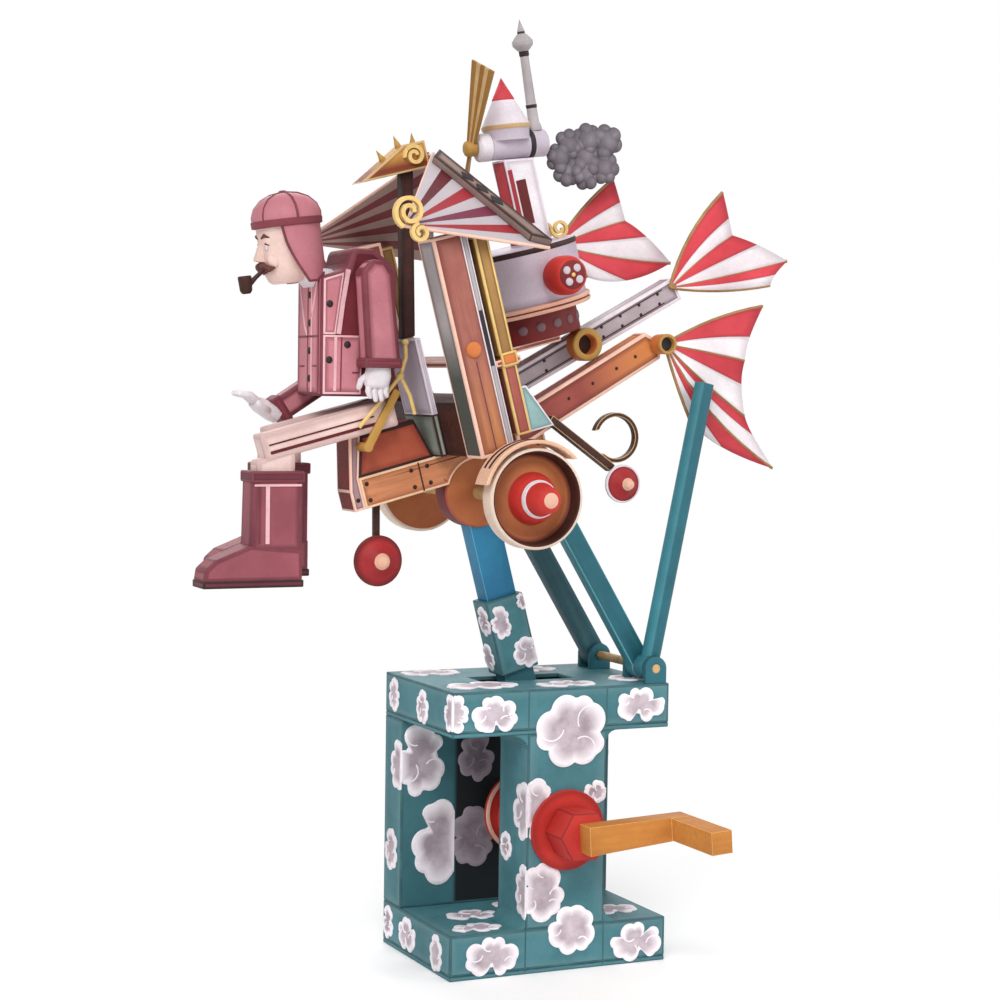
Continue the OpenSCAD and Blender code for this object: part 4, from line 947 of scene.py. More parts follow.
# %% Posts and deck
POST_SIDE, STRIP_SIDE = 42, 42.35
POST_UP = (-math.sin(PITCH), 0, math.cos(PITCH))
post_foot = sum(a * b for a, b in zip(POST_UP, axle)) / MM
ink("post_card", "A96A5D", "905247", 60, 0.8, edge=("6B2B26", 0.75),
    grain=("83453C", 0.5, PITCH + math.pi / 2), fade=("B97B4C", POST_UP, post_foot + 52, post_foot + 22))
ink("post_front", "B0A9A9", "978F91", 60, 0.7, edge=("4C4346", 0.7),
    fade=("454B44", POST_UP, post_foot + 60, post_foot + 42))
card_node("main_posts", "machine", ["post_card", "peach_line", "post_front", "dark_brown_card"], "brown_card",
          border=0.7, fade=2.2,
          pick=lambda middle, normal: 0 if abs(normal.y) > 0.7 else 2 if normal.x < -0.7 else 3)
card_node("rear_posts", "machine", ["brass_card", "gold_line", "brown_card"], "gold_card", border=0.5,
          fade=1.2, pick=lambda middle, normal: 0 if middle.z > 43.5 else 2)
card_node("deck", "machine", ["brown_card", "peach_line"], "brown_card", border=0.4, fade=2)
card_node("roof_strut", "machine", ["dark_brown_card", "dark_line"], "brown_card", border=0.4, fade=1)
card_piece("post_plates", both_sides(block_outline(2.0, 7.6, 42.6, 47), 36.6, 42.7),
           ["orange_card", "gold_line"], slot="gold_card", rounding=0.2, border=0.5, fade=1.5)
card_piece("post_strips", both_sides(block_outline(-2.6, -0.2, 17, 87), POST_SIDE, STRIP_SIDE),
           ["grey_card", "lilac_line"], slot="brown_card", rounding=0.1, border=0.3, fade=0.6)
gaps = bmesh.new()
for side in (-1, 1):
    drawn(gaps, side_of(MACHINE, STRIP_SIDE, side), [(side * 1.4, 44), (side * 1.4, 62)], 1.3, 0.1, 0)
    drawn(gaps, side_of(MACHINE, POST_SIDE, side), [(side * 6.5, 17.5), (side * 6.5, 46.5)], 0.35, 0.1, 1)
piece("post_slots", "machine", gaps, ["shadow_card", "coat_line"])
buttons = bmesh.new()
for side in (-1, 1):
    turned(buttons, [(-0.2, 0, 0), (-0.2, 2.6, 0), (0.6, 2.6, 0), (1.1, 1.7, 0), (1.2, 0, 0)],
           facing(MACHINE, -6.6, side * POST_SIDE, 50.5, side), 28)
piece("post_buttons", "machine", buttons, ["orange_card"])
ink("brace_card", "8FB0AE", "76999A", 80, 0.8, edge=("4F7577", 0.75))
card_piece("arch_braces", both_sides([(6.9, 20), (15.8, 20), (9, 35), (6.9, 35)], 39.5, 41),
           ["brace_card", "lilac_line"], slot="rod_teal_card", rounding=0.2, border=0.35, fade=2)
print("posts dressed")

# %% [markdown]
# ## Wheels
# A wheel is a deep dish of orange card in a pale rim, with a red hub that steps down to a peach tip. All of
# that is one turned profile. The drum on the rod's top, between the two wheels, is made the same way.

# %% Wheels
# Low fourth values darken the ink; next to the rim they darken the dish as painted shade.
wheel_bands = [(0, 0, 2), (0, 15.6, 0), (0.5, 16.3, 0), (6.6, 16.3, 0), (7, 15.9, 0), (7, 15.1, 1),
               (6.4, 14.7, 1), (2.2, 14.0, 2, 0), (1.6, 12.4, 2, 0.75), (2.8, 8.9, 2, 0.9),
               (3.2, 8.3, 3, 0.4), (6.8, 7.2, 3, 0.9), (8.4, 6.0, 4), (9.6, 5.9, 4), (9.8, 5.3, 5, 0.5),
               (15.4, 4.2, 5, 1), (16.6, 3.4, 5), (17.1, 2.2, 6), (17.6, 1.2, 6), (17.6, 0, 6)]
wheel_inks = ["rim_card", "dark_brown_card", "dish_card", "red_card", "pale_card", "red_card", "peach_card"]
for body, side in (("near_wheel", -1), ("far_wheel", 1)):
    turned_piece(body + "_dish", body, wheel_bands, facing(MACHINE, 0, side * 43, 0, side), wheel_inks,
                 [body], 64, 0.3)
# The drum's round side takes the dark red ink: painted shade.
drum_bands = [(0, 0, 0), (0, 9.2, 0), (0, 11.6, 1), (1.2, 11.9, 2), (9.4, 11.9, 1), (10.6, 11.6, 0),
              (10.6, 9.2, 0), (10.6, 0, 0)]
turned_piece("rod_drum", "machine", drum_bands, facing(MACHINE, 0, 5.3, 0, -1),
             ["dish_card", "rust_card", "dark_red_card"], steps=56, soft=0.3)
small_bands = [(0, 0, 0), (0, 0.97, 0), (0.4, 1.0, 1), (1.4, 1.0, 1), (1.7, 0.94, 1), (1.5, 0.88, 0, 0.2),
               (2.2, 0.7, 0, 0.9), (4.2, 0.42, 0), (5.0, 0.3, 2), (6.8, 0.22, 2), (7.3, 0, 2)]
for body, u, w, y, radius, rim in (("nose_wheel", -40, -12.7, -1.8, 8.5, "dark_red_card"),
                                   ("tail_wheel", 46.2, -9, -18.3, 6.5, "pale_card")):
    turned_piece(body + "_cone", body, [(z, r * radius, *rest) for z, r, *rest in small_bands],
                 facing(MACHINE, u, y, w, -1), ["wheel_red", rim, "peach_card"], [body],
                 soft=0.25)
print("wheels: radius", wheel_bands[3][1], "mm")

# %% [markdown]
# ## Arches, links and levers
# A strip of peach card bends over each wheel as a mudguard, with two dark slots along it. The small wheels
# hang on dark links, and the tail skid ends in a scroll.

# %% Arches, links and levers
card_node("wheel_arches", "machine", ["peach_card", "plank_line"], "peach_card", border=0.3, fade=1.5)


def bent_strip(inner, outer, start, stop, steps=28):
    """The outline of a strip bent round the wheels' axle, between two radii and two angles."""
    turns = [math.radians(start + (stop - start) * k / steps) for k in range(steps + 1)]
    ring = [(outer, t) for t in turns] + [(inner, t) for t in reversed(turns)]
    return [(r * math.cos(t), r * math.sin(t)) for r, t in ring]


arch_slots = bmesh.new()
for inner, outer in ((44.2, 45.4), (47.6, 48.8)):
    for card in both_sides(bent_strip(18.8, 19.05, 48, 134), inner, outer):
        add_card(arch_slots, *card, MACHINE)
piece("arch_slots", "machine", arch_slots, ["dark_brown_card"])
card_piece("nose_link_card", [([(-36, 5.6), (-33.9, 5.6), (-39, -14.2), (-41, -14.2)], -1.2, 1.2)],
           ["dark_brown_card", "dark_line"], ["nose_link"], "brown_card", rounding=0.2, border=0)
card_node("tail_skid", "machine", ["dark_brown_card", "rib_card"], "brown_card", border=0)
card_node("control_lever", "machine", ["gold_card", "gold_line"], "gold_card", rounding=0.2, border=0)
rods = [[at(MACHINE, u, y, w) for u, y, w in line] for line in (
    ((-39.5, -13.4, 33), (-30, -14.2, 39.8), (-22, -14.6, 45.8), (-18.6, -14.6, 51), (-17.6, -14.6, 56)),
    ((-22, -14.6, 45.8), (-20.2, -14.4, 39), (-19.6, -13.6, 32.4)))]
ribbed("control_rods", "machine", rods, 0.7, "gold_line")
knobs = [(rods[0][-1], UP), (rods[0][2], -ACROSS)]
studded("control_knobs", "machine", knobs, 1.3, 1.1, "gold_line")
print("arches and links dressed")

# %% [markdown]
# ## Roof
# The roof is two striped triangles that lean on a ridge. The stripes fan out from each front corner, so a
# panel is made of wedges: the far edge is divided evenly, and every wedge runs from the corner to its
# share. They are duller below, which is painted shade. Spars with dark diamonds run down the rear edges.

# %% Roof panels
ROOF_CORNERS = (12.6, 1, 112.5), (-22, 46, 93), (25, 46, 75.5)
ROOF_PLY, SPAR_RISE = 1.2, 2.5
STRIPE_INKS = (0, 1, 0, 2, 0, 3, 0, 2, 0)
STRIPES = len(STRIPE_INKS)
# The wedges' undersides take the duller inks: painted shade.
SHADED_UNDER_PALE, SHADED_UNDER_DARK = 4, 5


def wedge(bm, corner, first, second, up, over, under):
    """A thin three-sided card from a corner to an edge, with different inks over and under."""
    faces = slab(bm, *([at(MACHINE, *(p + up * h)) for p in (corner, first, second)] for h in (0, ROOF_PLY)))
    for face in faces:
        face.material_index = over
    faces[0].material_index = under


panels = bmesh.new()
edges, diamonds = [], bmesh.new()
for side in (-1, 1):
    ridge, front_eave, rear_eave = (Vector((x, side * y, z)) for x, y, z in ROOF_CORNERS)
    up = (front_eave - ridge).cross(rear_eave - ridge).normalized()
    up = up if up.z > 0 else -up
    for k in range(STRIPES):
        first, second = (ridge.lerp(rear_eave, share / STRIPES) for share in (k, k + 1))
        wedge(panels, front_eave, first, second, up, STRIPE_INKS[k], SHADED_UNDER_DARK if k % 2 else SHADED_UNDER_PALE)
    lift = up * ROOF_PLY / 2
    edges.append([at(MACHINE, *(corner + lift)) for corner in (ridge, front_eave, rear_eave)])
    down = (rear_eave - ridge).normalized()
    forwards = up.cross(down)
    sign = 1 if forwards.x < 0 else -1
    spar_face = wall(at(MACHINE, *(ridge + up * (ROOF_PLY + SPAR_RISE))), to_world @ down,
                     to_world @ forwards)
    for x in (20, 27.5, 35):
        outline = [(x - 3.2, sign * 3), (x, sign * 0.9), (x + 3.2, sign * 3), (x, sign * 5.1)]
        slab(diamonds, *([at(spar_face, *point, h) for point in outline] for h in (-0.1, 0.25)))
roof_inks = ["stripe_white", "stripe_maroon", "stripe_red", "stripe_plum", "under_tan_painted_shade", "under_maroon_painted_shade"]
piece("roof_stripes", "machine", panels, roof_inks, ["roof_panels"])
piece("spar_diamonds", "machine", diamonds, ["shadow_card"])
ribbed("roof_edges", "machine", edges, 0.6, "peach_line")
card_node("roof_spars", "machine", ["spar_card", "dark_line"], "brown_card", rounding=0.25, border=0.9,
          fade=1.2)
print("roof:", 2 * STRIPES, "stripes")

# %% [markdown]
# ## Beak and scrolls
# A gold beak closes the ridge, dark below, with gold scrolls on it and at the roof's front corners. A
# scroll is a strip of card rolled up, which is a spiral with a thickness, so its outline follows a formula.

# %% Beak and scrolls
ink("beak_card", "CB9A4A", "B07A36", 60, 0.9, edge=("7A4A20", 0.6),
    fade=("742E16", POST_UP, post_foot + 115, post_foot + 111.2))
card_node("ridge_beak", "machine", ["beak_card", "rib_card", "dark_brown_card"], "gold_card", border=0.4,
          fade=2.5, pick=lambda middle, normal: 2 if normal.z < -0.2 else 0)


def scroll(bm, u, w, outer, inner, start, turns, strip, low, high, steps=44):
    """A rolled strip: a spiral from the outer to the inner radius. start in degrees, turns signed."""
    rings = []
    for k in range(steps + 1):
        a = math.radians(start) + 2 * math.pi * turns * k / steps
        middle = outer + (inner - outer) * k / steps
        corners = ((middle + strip / 2, low), (middle - strip / 2, low), (middle - strip / 2, high),
                   (middle + strip / 2, high))
        rings.append([bm.verts.new(at(MACHINE, u + r * math.cos(a), y, w + r * math.sin(a)))
                      for r, y in corners])
    bmesh.ops.recalc_face_normals(bm, faces=skin(bm, rings))


curls = bmesh.new()
for side in (-1, 1):
    for inner, outer, *curl in ((46.2, 48.2, -19.5, 97.5, 5.2, 1.2, -130, -1.7, 1.3),
                                (46.2, 48.0, -17.5, 90.5, 3.0, 0.9, 90, 1.4, 1.2),
                                (4.4, 5.6, 4.5, 113.8, 3.6, 0.9, 180, -1.5, 1.2),
                                (5, 6.4, 50.4, 79.2, 3.2, 0.9, 180, 1.5, 1.0)):
        scroll(curls, *curl, *sorted((side * inner, side * outer)))
piece("gold_scrolls", "machine", curls, ["gold_line"])
spikes = bmesh.new()
for u, w, lean in ((-5, 114.99, -0.4), (1.5, 118.175, -0.2), (7, 117.8, 0.1)):
    spot = moved(MACHINE, u, 0, w) @ Matrix.Rotation(lean, 4, "Y")
    turned(spikes, [(-0.5, 1.1, 0), (0, 1.1, 0), (3.6, 0, 0)], spot, 10, 0.1)
piece("beak_spikes", "machine", spikes, ["gold_card"])
print("beak and scrolls made")

# %% [markdown]
# ## Boiler and engine
# Rolled card again: the boiler is a drum on a dark foot between two hoops, and the engine above it is a
# tube with a small cone roof and a chimney. Each is a turned profile, and a row of mauve dots runs round
# the foot.

# %% Boiler
BOILER = moved(MACHINE, 33, 0, 0)
boiler_bands = [(45.1, 0, 0), (45.1, 18, 0), (53.8, 18, 0), (53.9, 23.1, 1), (55.0, 23.7, 1), (55.2, 23.2, 0),
                (55.8, 23.2, 1), (56.0, 23.6, 1), (57.0, 23.6, 1), (57.2, 22.5, 2, 0.1), (60, 22.5, 2, 1),
                (74.2, 22.5, 3), (74.4, 22.85, 3), (75.4, 22.85, 3), (76, 22.5, 2), (76.05, 19.5, 2),
                (76.05, 0, 2)]
turned_piece("boiler_drum", "machine", boiler_bands, BOILER,
             ["dark_red_card", "peach_card", "lilac_card", "dark_line"], ["boiler"], 72)
turns = [2 * math.pi * k / 18 for k in range(18)]
dots = [(at(BOILER, 18 * math.cos(a), 18 * math.sin(a), 49.5),
         to_world @ Vector((math.cos(a), math.sin(a), 0)))
        for a in turns]
studded("boiler_dots", "machine", dots, 1.7, 0.45, "mauve_card")
KNOB = facing(MACHINE, 37, -22.4, 65, -1)
knob_bands = [(-0.5, 0, 0), (-0.5, 4.6, 0), (1.5, 5.6, 0), (4, 6.5, 0), (9, 6.5, 0), (11.6, 5.6, 0),
              (12.6, 4.4, 1), (13.0, 0, 1)]
turned_piece("boiler_knob_bulb", "machine", knob_bands, KNOB, ["red_card", "dark_red_card"], ["boiler_knob"],
             soft=0.5)
outwards = KNOB.to_3x3() @ UP
turns = [math.pi / 4 + math.pi / 2 * k for k in range(4)]
petals = [(at(KNOB, 2.7 * math.cos(a), 2.7 * math.sin(a), 12.75), outwards) for a in turns]
studded("knob_petals", "machine", petals, 1.35, 0.4, "pale_card")
studded("knob_centre", "machine", [(at(KNOB, 0, 0, 12.95), outwards)], 0.7, 0.35, "gold_line")
print("boiler dressed,", len(dots), "dots")

# %% [markdown]
# The engine lies on a pylon, and it leans less than the machine does, so it is turned in a frame of its
# own, which starts at the propeller's joint. The cone and the chimney stand on it in the same frame.

# %% Engine, cone and chimney
ALONG_ENGINE = spun(ENGINE, 90, "Y")
card_node("pylon", "machine", ["pale_card", "lilac_line", "stripe_red"], "pale_card", border=0.4, fade=2,
          pick=front_faces)
marks = bmesh.new()
for side in (-1, 1):
    pylon_side = side_of(MACHINE, 5, side)
    drawn(marks, pylon_side, [(-side * 40.4, 83), (-side * 40.4, 98)], 3.6, 0.15, 0)
    drawn(marks, pylon_side, [(-side * 37.2, 77), (-side * 37.2, 102)], 1.6, 0.12, 1)
piece("pylon_slot", "machine", marks, ["dark_red_card", "stripe_red"])
tube_bands = [(-0.4, 0, 0), (-0.4, 3.4, 0), (0.4, 4.75, 0), (4.2, 4.75, 1), (4.5, 4.6, 2), (18.4, 4.6, 3),
              (18.7, 4.85, 3), (20.2, 4.85, 2), (20.5, 4.6, 2), (25.1, 4.6, 3), (25.1, 0, 3)]
turned_piece("engine_tube", "machine", tube_bands, ALONG_ENGINE,
             ["pale_card", "grey_card", "lilac_card", "shadow_card"], ["engine"])
cone_bands = [(1.5, 0, 0), (1.5, 7.6, 0), (5.2, 7.9, 0), (5.4, 8.2, 1), (6.6, 8.4, 1), (7.0, 8.1, 2),
              (15.2, 3.75, 3), (15.4, 3.85, 3), (22.8, 0, 3)]
turned_piece("engine_cone", "machine", cone_bands, moved(ENGINE, 11.5, 0, 0),
             ["lilac_card", "rib_card", "lilac_line", "stripe_red"], ["engine"], 40)
chimney_bands = [(4.2, 0, 0), (4.2, 2.6, 0), (6, 2.4, 0), (7, 1.9, 0), (12, 1.75, 1), (12.2, 1.9, 1),
                 (13.2, 1.9, 0), (13.4, 1.7, 0), (29.4, 1.45, 1), (29.6, 1.7, 1), (31.2, 1.7, 0),
                 (31.5, 2.2, 0), (33, 3.5, 0), (34.4, 3.6, 0), (36.2, 2.2, 0), (37, 1.3, 1), (37.8, 1.3, 0),
                 (38.6, 1.0, 0), (41.8, 0, 0)]
turned_piece("chimney_pipe", "machine", chimney_bands, spun(moved(ENGINE, 22.4, 0, 0), -2.5, "Y"),
             ["chimney_card", "shadow_card"], ["chimney"], 32)
print("engine dressed")

# %% [markdown]
# ## Propeller and smoke
# The blades are gold card with printed stripes along them, set at an angle to their path so that they would
# bite the air. Each stripe is a thin slab of its own, which keeps the print's edges sharp.

# %% Propeller
BLADE_SET, BLADE_TIP = 38, 30.4
blades = bmesh.new()
for turn in (33, 213):
    blade = spun(spun(moved(ENGINE, -2.3, 0, 0), turn, "X"), BLADE_SET, "Z")
    for y0, y1, number in ((-1, -0.55, 0), (-0.55, -0.2, 1), (-0.2, 0.2, 2), (0.2, 0.55, 1), (0.55, 1, 0)):
        outline = [(y0 * 1.6, 2), (y1 * 1.6, 2), (y1 * 4.2, BLADE_TIP + 0.7 * y1),
                   (y0 * 4.2, BLADE_TIP + 0.7 * y0)]
        for face in slab(blades, *([at(blade, x, y, z) for y, z in outline] for x in (-0.45, 0.45))):
            face.material_index = number
boss_bands = [(-4.6, 0, 0), (-4.6, 1.6, 0), (-4, 2.6, 0), (-0.6, 2.7, 2), (-0.6, 0, 2)]
turned(blades, boss_bands, ALONG_ENGINE, 24, 0.2)
piece("propeller_blades", "propeller", blades, ["gold_card", "rib_card", "gold_dark"], ["propeller"])
print("propeller made")

# %% [markdown]
# The smoke is a heap of rolled grey curls: eight clumps of seven small puffs, each a squashed ball. The ink
# reads how far a point is from its puff's rim, so every puff is darker towards its edge.

# %% Smoke
SMOKE = moved(ENGINE, 25, 0, 0)
PUFFS = 7
smoke = bmesh.new()
mark = edge_marks(smoke)
clumps = ((5.5, -5.5, 5.2), (9.5, -1.3, 5.5), (17, -0.3, 6), (24, -1.7, 6.5), (22.2, -10, 6),
          (15, -11.9, 5.5), (8, -10.2, 5.5), (15.5, -6, 6))
for x, z, r in clumps:
    for k in range(PUFFS):
        a = 2 * math.pi * k / PUFFS + x
        size = r * (0.44 if k else 0.7)
        off = (r - size) * (k > 0)
        spot = at(SMOKE, x + off * math.cos(a), 0.5 * math.sin(x + 3 * k), z + off * math.sin(a))
        squash = Matrix.Diagonal((size * MM, min(0.5 * size, 1.6) * MM, size * MM, 1))
        ball = bmesh.ops.create_icosphere(smoke, subdivisions=3, radius=1,
                                          matrix=Matrix.Translation(spot) @ squash)
        for vert in ball["verts"]:
            away = (vert.co - spot) / MM
            vert[mark] = max(0, 1 - math.hypot(away.x, away.z) / size)
piece("smoke_puffs", "machine", smoke, ["smoke_card"], ["smoke_puff"], 60)
print("smoke:", len(clumps) * PUFFS, "puffs")

# %% [markdown]
# ## Booms
# Two card booms carry the tail. The upper one is grey with pale folds and a gold ring on its side; the
# lower one fades from brown to orange, which the ink does with one fade along the boom.

# %% Booms
ink("boom_rust", "9A4A40", "863B34", 60, 0.8, edge=("5F2320", 0.75),
    fade=("CE8148", (math.cos(PITCH), 0, math.sin(PITCH)), 62, 90))
ink("boom_grey", "B0A4A9", "96898F", 50, 0.8, edge=("5C4F54", 0.8))
boom_folds = dict(rounding=0.35, border=0.8, fade=2.2)
upper_boom = [(1, 23), (91, 45), (89, 53), (1, 31.3)]
lower_boom = [(14, 13), (19, 13), (73.3, 28), (75.3, 33), (69.8, 38), (14, 23)]
card_piece("upper_boom_card", [(upper_boom, -5.7, 2.3)], ["boom_grey", "lilac_line"],
           ["upper_boom"], "lilac_card", **boom_folds)
card_piece("lower_boom_card", [(lower_boom, -14, -6)],
           ["boom_rust", "peach_line"], ["lower_boom"], "brown_card", **boom_folds)
ring_bands = [(-1, 0, 0), (-1, 5.6, 0), (4.6, 5.65, 1), (5.2, 5.4, 1), (5.2, 3.7, 1), (4.9, 3.4, 0),
              (0.6, 3.3, 2), (0.6, 0, 2)]
turned_piece("boom_ring", "machine", ring_bands, facing(MACHINE, 49, -5.7, 39, -1),
             ["orange_card", "gold_card", "dark_brown_card"])
boom_lines, boom_rivets = bmesh.new(), []
for side, y, low_y in ((-1, -5.7, -14), (1, 2.3, -6)):
    boom_side = side_of(MACHINE, side * y, side)
    for lift in (-2.3, 2.3):
        drawn(boom_lines, boom_side, [(-side * 6, 28.4 + lift), (-side * 84, 47.6 + lift)], 0.35, 0.1, 0)
        boom_rivets += [(at(MACHINE, u, y, 26.95 + 0.2461 * u + 0.75 * lift), side * ACROSS)
                        for u in (22, 34, 58, 66, 74, 82)]
    boom_rivets += [(at(MACHINE, u, low_y, 13.7 + 0.27 * u), side * ACROSS) for u in (26, 36, 46, 56, 64)]
piece("boom_lines", "machine", boom_lines, ["dark_line"])
studded("boom_rivets", "machine", boom_rivets, 0.6, 0.3, "dark_brown_card")
print("booms dressed,", len(boom_rivets), "rivets")

# %% [markdown]
# ## Fans
# A tail fan is pleated card on sticks. Each gap between two sticks holds a red and a white stripe, the
# outer edge is drawn in between the sticks, and the card bows out a little to one side, as a pleat does.
# Each stripe darkens towards its sides, which is painted pleat shade. All of this follows from the sticks'
# angles and lengths, so one function makes the three fans.

# %% Fans
RUN, STEPS = 8, 6
SAG, HALF_PLY = 0.06, 0.5


def on_stick(apex, angle, bend, length, out, y):
    """The point at a share of a stick's length, at a depth across. The bend, in degrees, is at the root."""
    turn = math.radians(angle + bend * (1 - out))
    return at(MACHINE, apex[0] + length * out * math.cos(turn), y, apex[1] + length * out * math.sin(turn))


def fan(bm, apex, sticks, middle, bow):
    """Pleated stripes between sticks of (angle, length, bend), at one depth. Returns the sticks' lines."""
    edge = edge_marks(bm)
    for first, last in zip(sticks, sticks[1:]):
        for stripe in range(2):
            grid = {}
            for s in range(STEPS + 1):
                share = (stripe + s / STEPS) / 2
                hollow = 4 * share * (1 - share)
                angle, length, bend = (a + (b - a) * share for a, b in zip(first, last))
                for t in range(RUN + 1):
                    out = 0.06 + 0.94 * t / RUN
                    for layer in (-1, 1):
                        y = middle + bow * hollow * out + layer * HALF_PLY
                        vert = bm.verts.new(on_stick(apex, angle, bend, length * (1 - SAG * hollow), out, y))
                        # A stripe's sides are marked low, so the ink darkens there as painted pleat shade; at
                        # its outer end the same mark draws the edge.
                        vert[edge] = 1.0 if 0 < s < STEPS and t < RUN else 0.25
                        grid[s, t, layer] = vert
            spots = [((s, t, k), (s + 1, t, k), (s + 1, t + 1, k), (s, t + 1, k))
                     for s in range(STEPS) for t in range(RUN) for k in (-1, 1)]
            spots += [((s, t, -1), (s + 1, t, -1), (s + 1, t, 1), (s, t, 1)) for s in range(STEPS)
                      for t in (0, RUN)]
            spots += [((s, t, -1), (s, t + 1, -1), (s, t + 1, 1), (s, t, 1)) for s in (0, STEPS)
                      for t in range(RUN)]
            faces = [bm.faces.new([grid[spot] for spot in corners]) for corners in spots]
            for face in faces:
                face.material_index = stripe
            bmesh.ops.recalc_face_normals(bm, faces=faces)
    shares = [t / RUN for t in range(RUN + 1)]
    return [[on_stick(apex, a, b, length, out, middle) for out in shares] for a, length, b in sticks]


fans, moving = bmesh.new(), bmesh.new()
fixed_sticks = fan(fans, (87, 50), ((44, 39.5, 16), (23, 31, 6), (-2, 48.5, -2), (-12, 40.5, -8)), -6.3, -1.6)
fixed_sticks += fan(fans, (54.7, 73), ((33, 32, 10), (5, 28, 4), (-20.7, 45, -6), (-56, 16, -4)), 7.6, -1.6)
piece("fixed_fan_stripes", "machine", fans, ["stripe_red", "stripe_white"], ["fixed_fans"], 50)
ribbed("fixed_fan_sticks", "machine", fixed_sticks, 0.65, "stick_card")
moving_sticks = fan(moving, (73.3, 33), ((5, 41, 10), (-24, 32, 2), (-52, 40, -4), (-59, 61, -14),
                                         (-83, 28, -4)),
                    -19.25, 1.2)
piece("tail_fan_stripes", "tail_fan", moving, ["stripe_red", "stripe_white"], ["tail_fan"], 50)
ribbed("tail_fan_sticks", "tail_fan", moving_sticks, 0.55, "stick_card")
knuckle_bands = [(-4.6, 0, 0), (-4.6, 3.4, 0), (2.0, 3.5, 1), (2.4, 3.4, 1), (2.4, 2.5, 1), (0.6, 2.3, 2),
                 (0.6, 0, 2)]
turned_piece("tail_fan_knuckle", "tail_fan", knuckle_bands, facing(MACHINE, 73.3, -19.25, 33, -1),
             ["orange_card", "gold_card", "shadow_card"], ["tail_fan"], 36, 0.12)
print("fans: 3, with", len(fixed_sticks) + len(moving_sticks), "sticks")

# %% [markdown]
# ## The pilot
# The pilot is a papercraft figure: boxes with soft corners for the coat, trousers and boots, and rounder
# rolled forms for the head and hands. The boxes are cut from their outlines as the rest is. The head is a
# stack of ovals joined up, and fingers, moustache and pipe are rolled sticks that change in thickness.

# %% Tools for the figure
def finish_faces(bm, faces, number):
    """Inks new faces, points them outwards and marks them as away from any edge."""
    edge = edge_marks(bm)
    for face in faces:
        face.material_index = number
        for vert in face.verts:
            vert[edge] = 0.8
    bmesh.ops.recalc_face_normals(bm, faces=faces)


def lofted(bm, place, sections, number, power=2.3, sides=44):
    """Joins ovals of (height, middle, half length, half width) into a closed form. Sizes in mm."""
    def bulged(value):
        """A sine or cosine, pushed out towards a box where the power is above 2."""
        return math.copysign(abs(value) ** (2 / power), value)

    turns = [2 * math.pi * k / sides for k in range(sides)]
    rings = [[bm.verts.new(at(place, middle + long * bulged(math.cos(a)), wide * bulged(math.sin(a)), z))
              for a in turns]
             for z, middle, long, wide in sections]
    finish_faces(bm, skin(bm, rings), number)


def rolled(bm, place, points, radii, number, sides=14):
    """A stick of changing thickness along points, with round ends."""
    points = [Vector(p) for p in points]
    first, last = points[0], points[-1]
    back, on = (first - points[1]).normalized() * radii[0], (last - points[-2]).normalized() * radii[-1]
    path = [first + back * 0.98, first + back * 0.7, *points, last + on * 0.7, last + on * 0.98]
    sizes = [radii[0] * 0.2, radii[0] * 0.72, *radii, radii[-1] * 0.72, radii[-1] * 0.2]
    turns = [2 * math.pi * k / sides for k in range(sides)]
    rings = []
    for i, (p, r) in enumerate(zip(path, sizes)):
        way = (path[min(i + 1, len(path) - 1)] - path[max(i - 1, 0)]).normalized()
        side = way.cross(ACROSS)
        side = side.normalized() if side.length > 0.1 else Vector((1, 0, 0))
        other = way.cross(side).normalized()
        rings.append([bm.verts.new(at(place, *(p + r * (math.cos(a) * side + math.sin(a) * other))))
                      for a in turns])
    finish_faces(bm, skin(bm, rings), number)


print("figure tools ready")

# %% [markdown]
# The coat is a box with a pale front panel and a darker back, seams and a lapel drawn as thin strips, and
# dark buttons.

# %% Coat
COAT_SIDE, PANEL_SIDE, COAT_FRONT = 11.6, 12.1, -23.5
coat_outline = [(-23, 10.3), (3, 10.3), (3, 52.3), (-5, 58.3), (-12.6, 58.3), (-14.5, 51.4), (-23, 48.8)]
card_piece("pilot_coat", [(coat_outline, -COAT_SIDE, COAT_SIDE)], ["stripe_maroon", "coat_line"],
           ["pilot_torso"], "pink_card", PILOT, rounding=1.5, border=0.5, fade=3)
skirt = [(-22.6, 11), (-9.5, 11), (-9, 30), (-22.6, 30)]
chest = [(-22.6, 30.2), (-18.4, 30.2), (-15.6, 50.2), (-22.6, 48)]
card_piece("coat_panels", both_sides(skirt, 11.5, PANEL_SIDE) + both_sides(chest, 11.5, PANEL_SIDE),
           ["pink_coat", "pink_line"], slot="pink_card", place=PILOT, rounding=0.25, border=0.4, fade=2.5)
card_piece("coat_front", [(block_outline(COAT_FRONT, -22.6, 10.8, 48.4), -9.8, 9.8)],
           ["pink_coat", "coat_line"], slot="pink_card", place=PILOT, border=0.5, fade=2)
side_seams = (([(-18.6, 12), (-18.4, 29.4)], 0.9, 1), ([(-16.6, 12), (-16.4, 29.4)], 0.4, 0),
              ([(-12.6, 18), (-10.2, 18)], 0.5, 0))
lapel = [(-17.4, 30.4), (-16, 41), (-14.2, 51.2)]
front_seams = (([(0, 11.6), (0, 47.6)], 0.7, 0), ([(-9.2, 29.6), (9.2, 29.6)], 0.6, 0),
               ([(3.4, 11.6), (3.2, 47.6)], 0.9, 1), ([(-8.2, 47.6), (-3, 33), (-0.6, 30)], 1.0, 1),
               ([(8.2, 47.6), (3.6, 36)], 1.0, 1), ([(-7.6, 20), (-3, 20)], 0.5, 0),
               ([(4.6, 20), (8.4, 20)], 0.5, 0))
seams = bmesh.new()
for side in (-1, 1):
    for points, width, number in side_seams:
        drawn(seams, side_of(PILOT, PANEL_SIDE, side), [(-side * x, z) for x, z in points], width, 0.15,
              number)
    drawn(seams, side_of(PILOT, COAT_SIDE, side), [(-side * x, z) for x, z in lapel], 1.5, 0.6, 1)
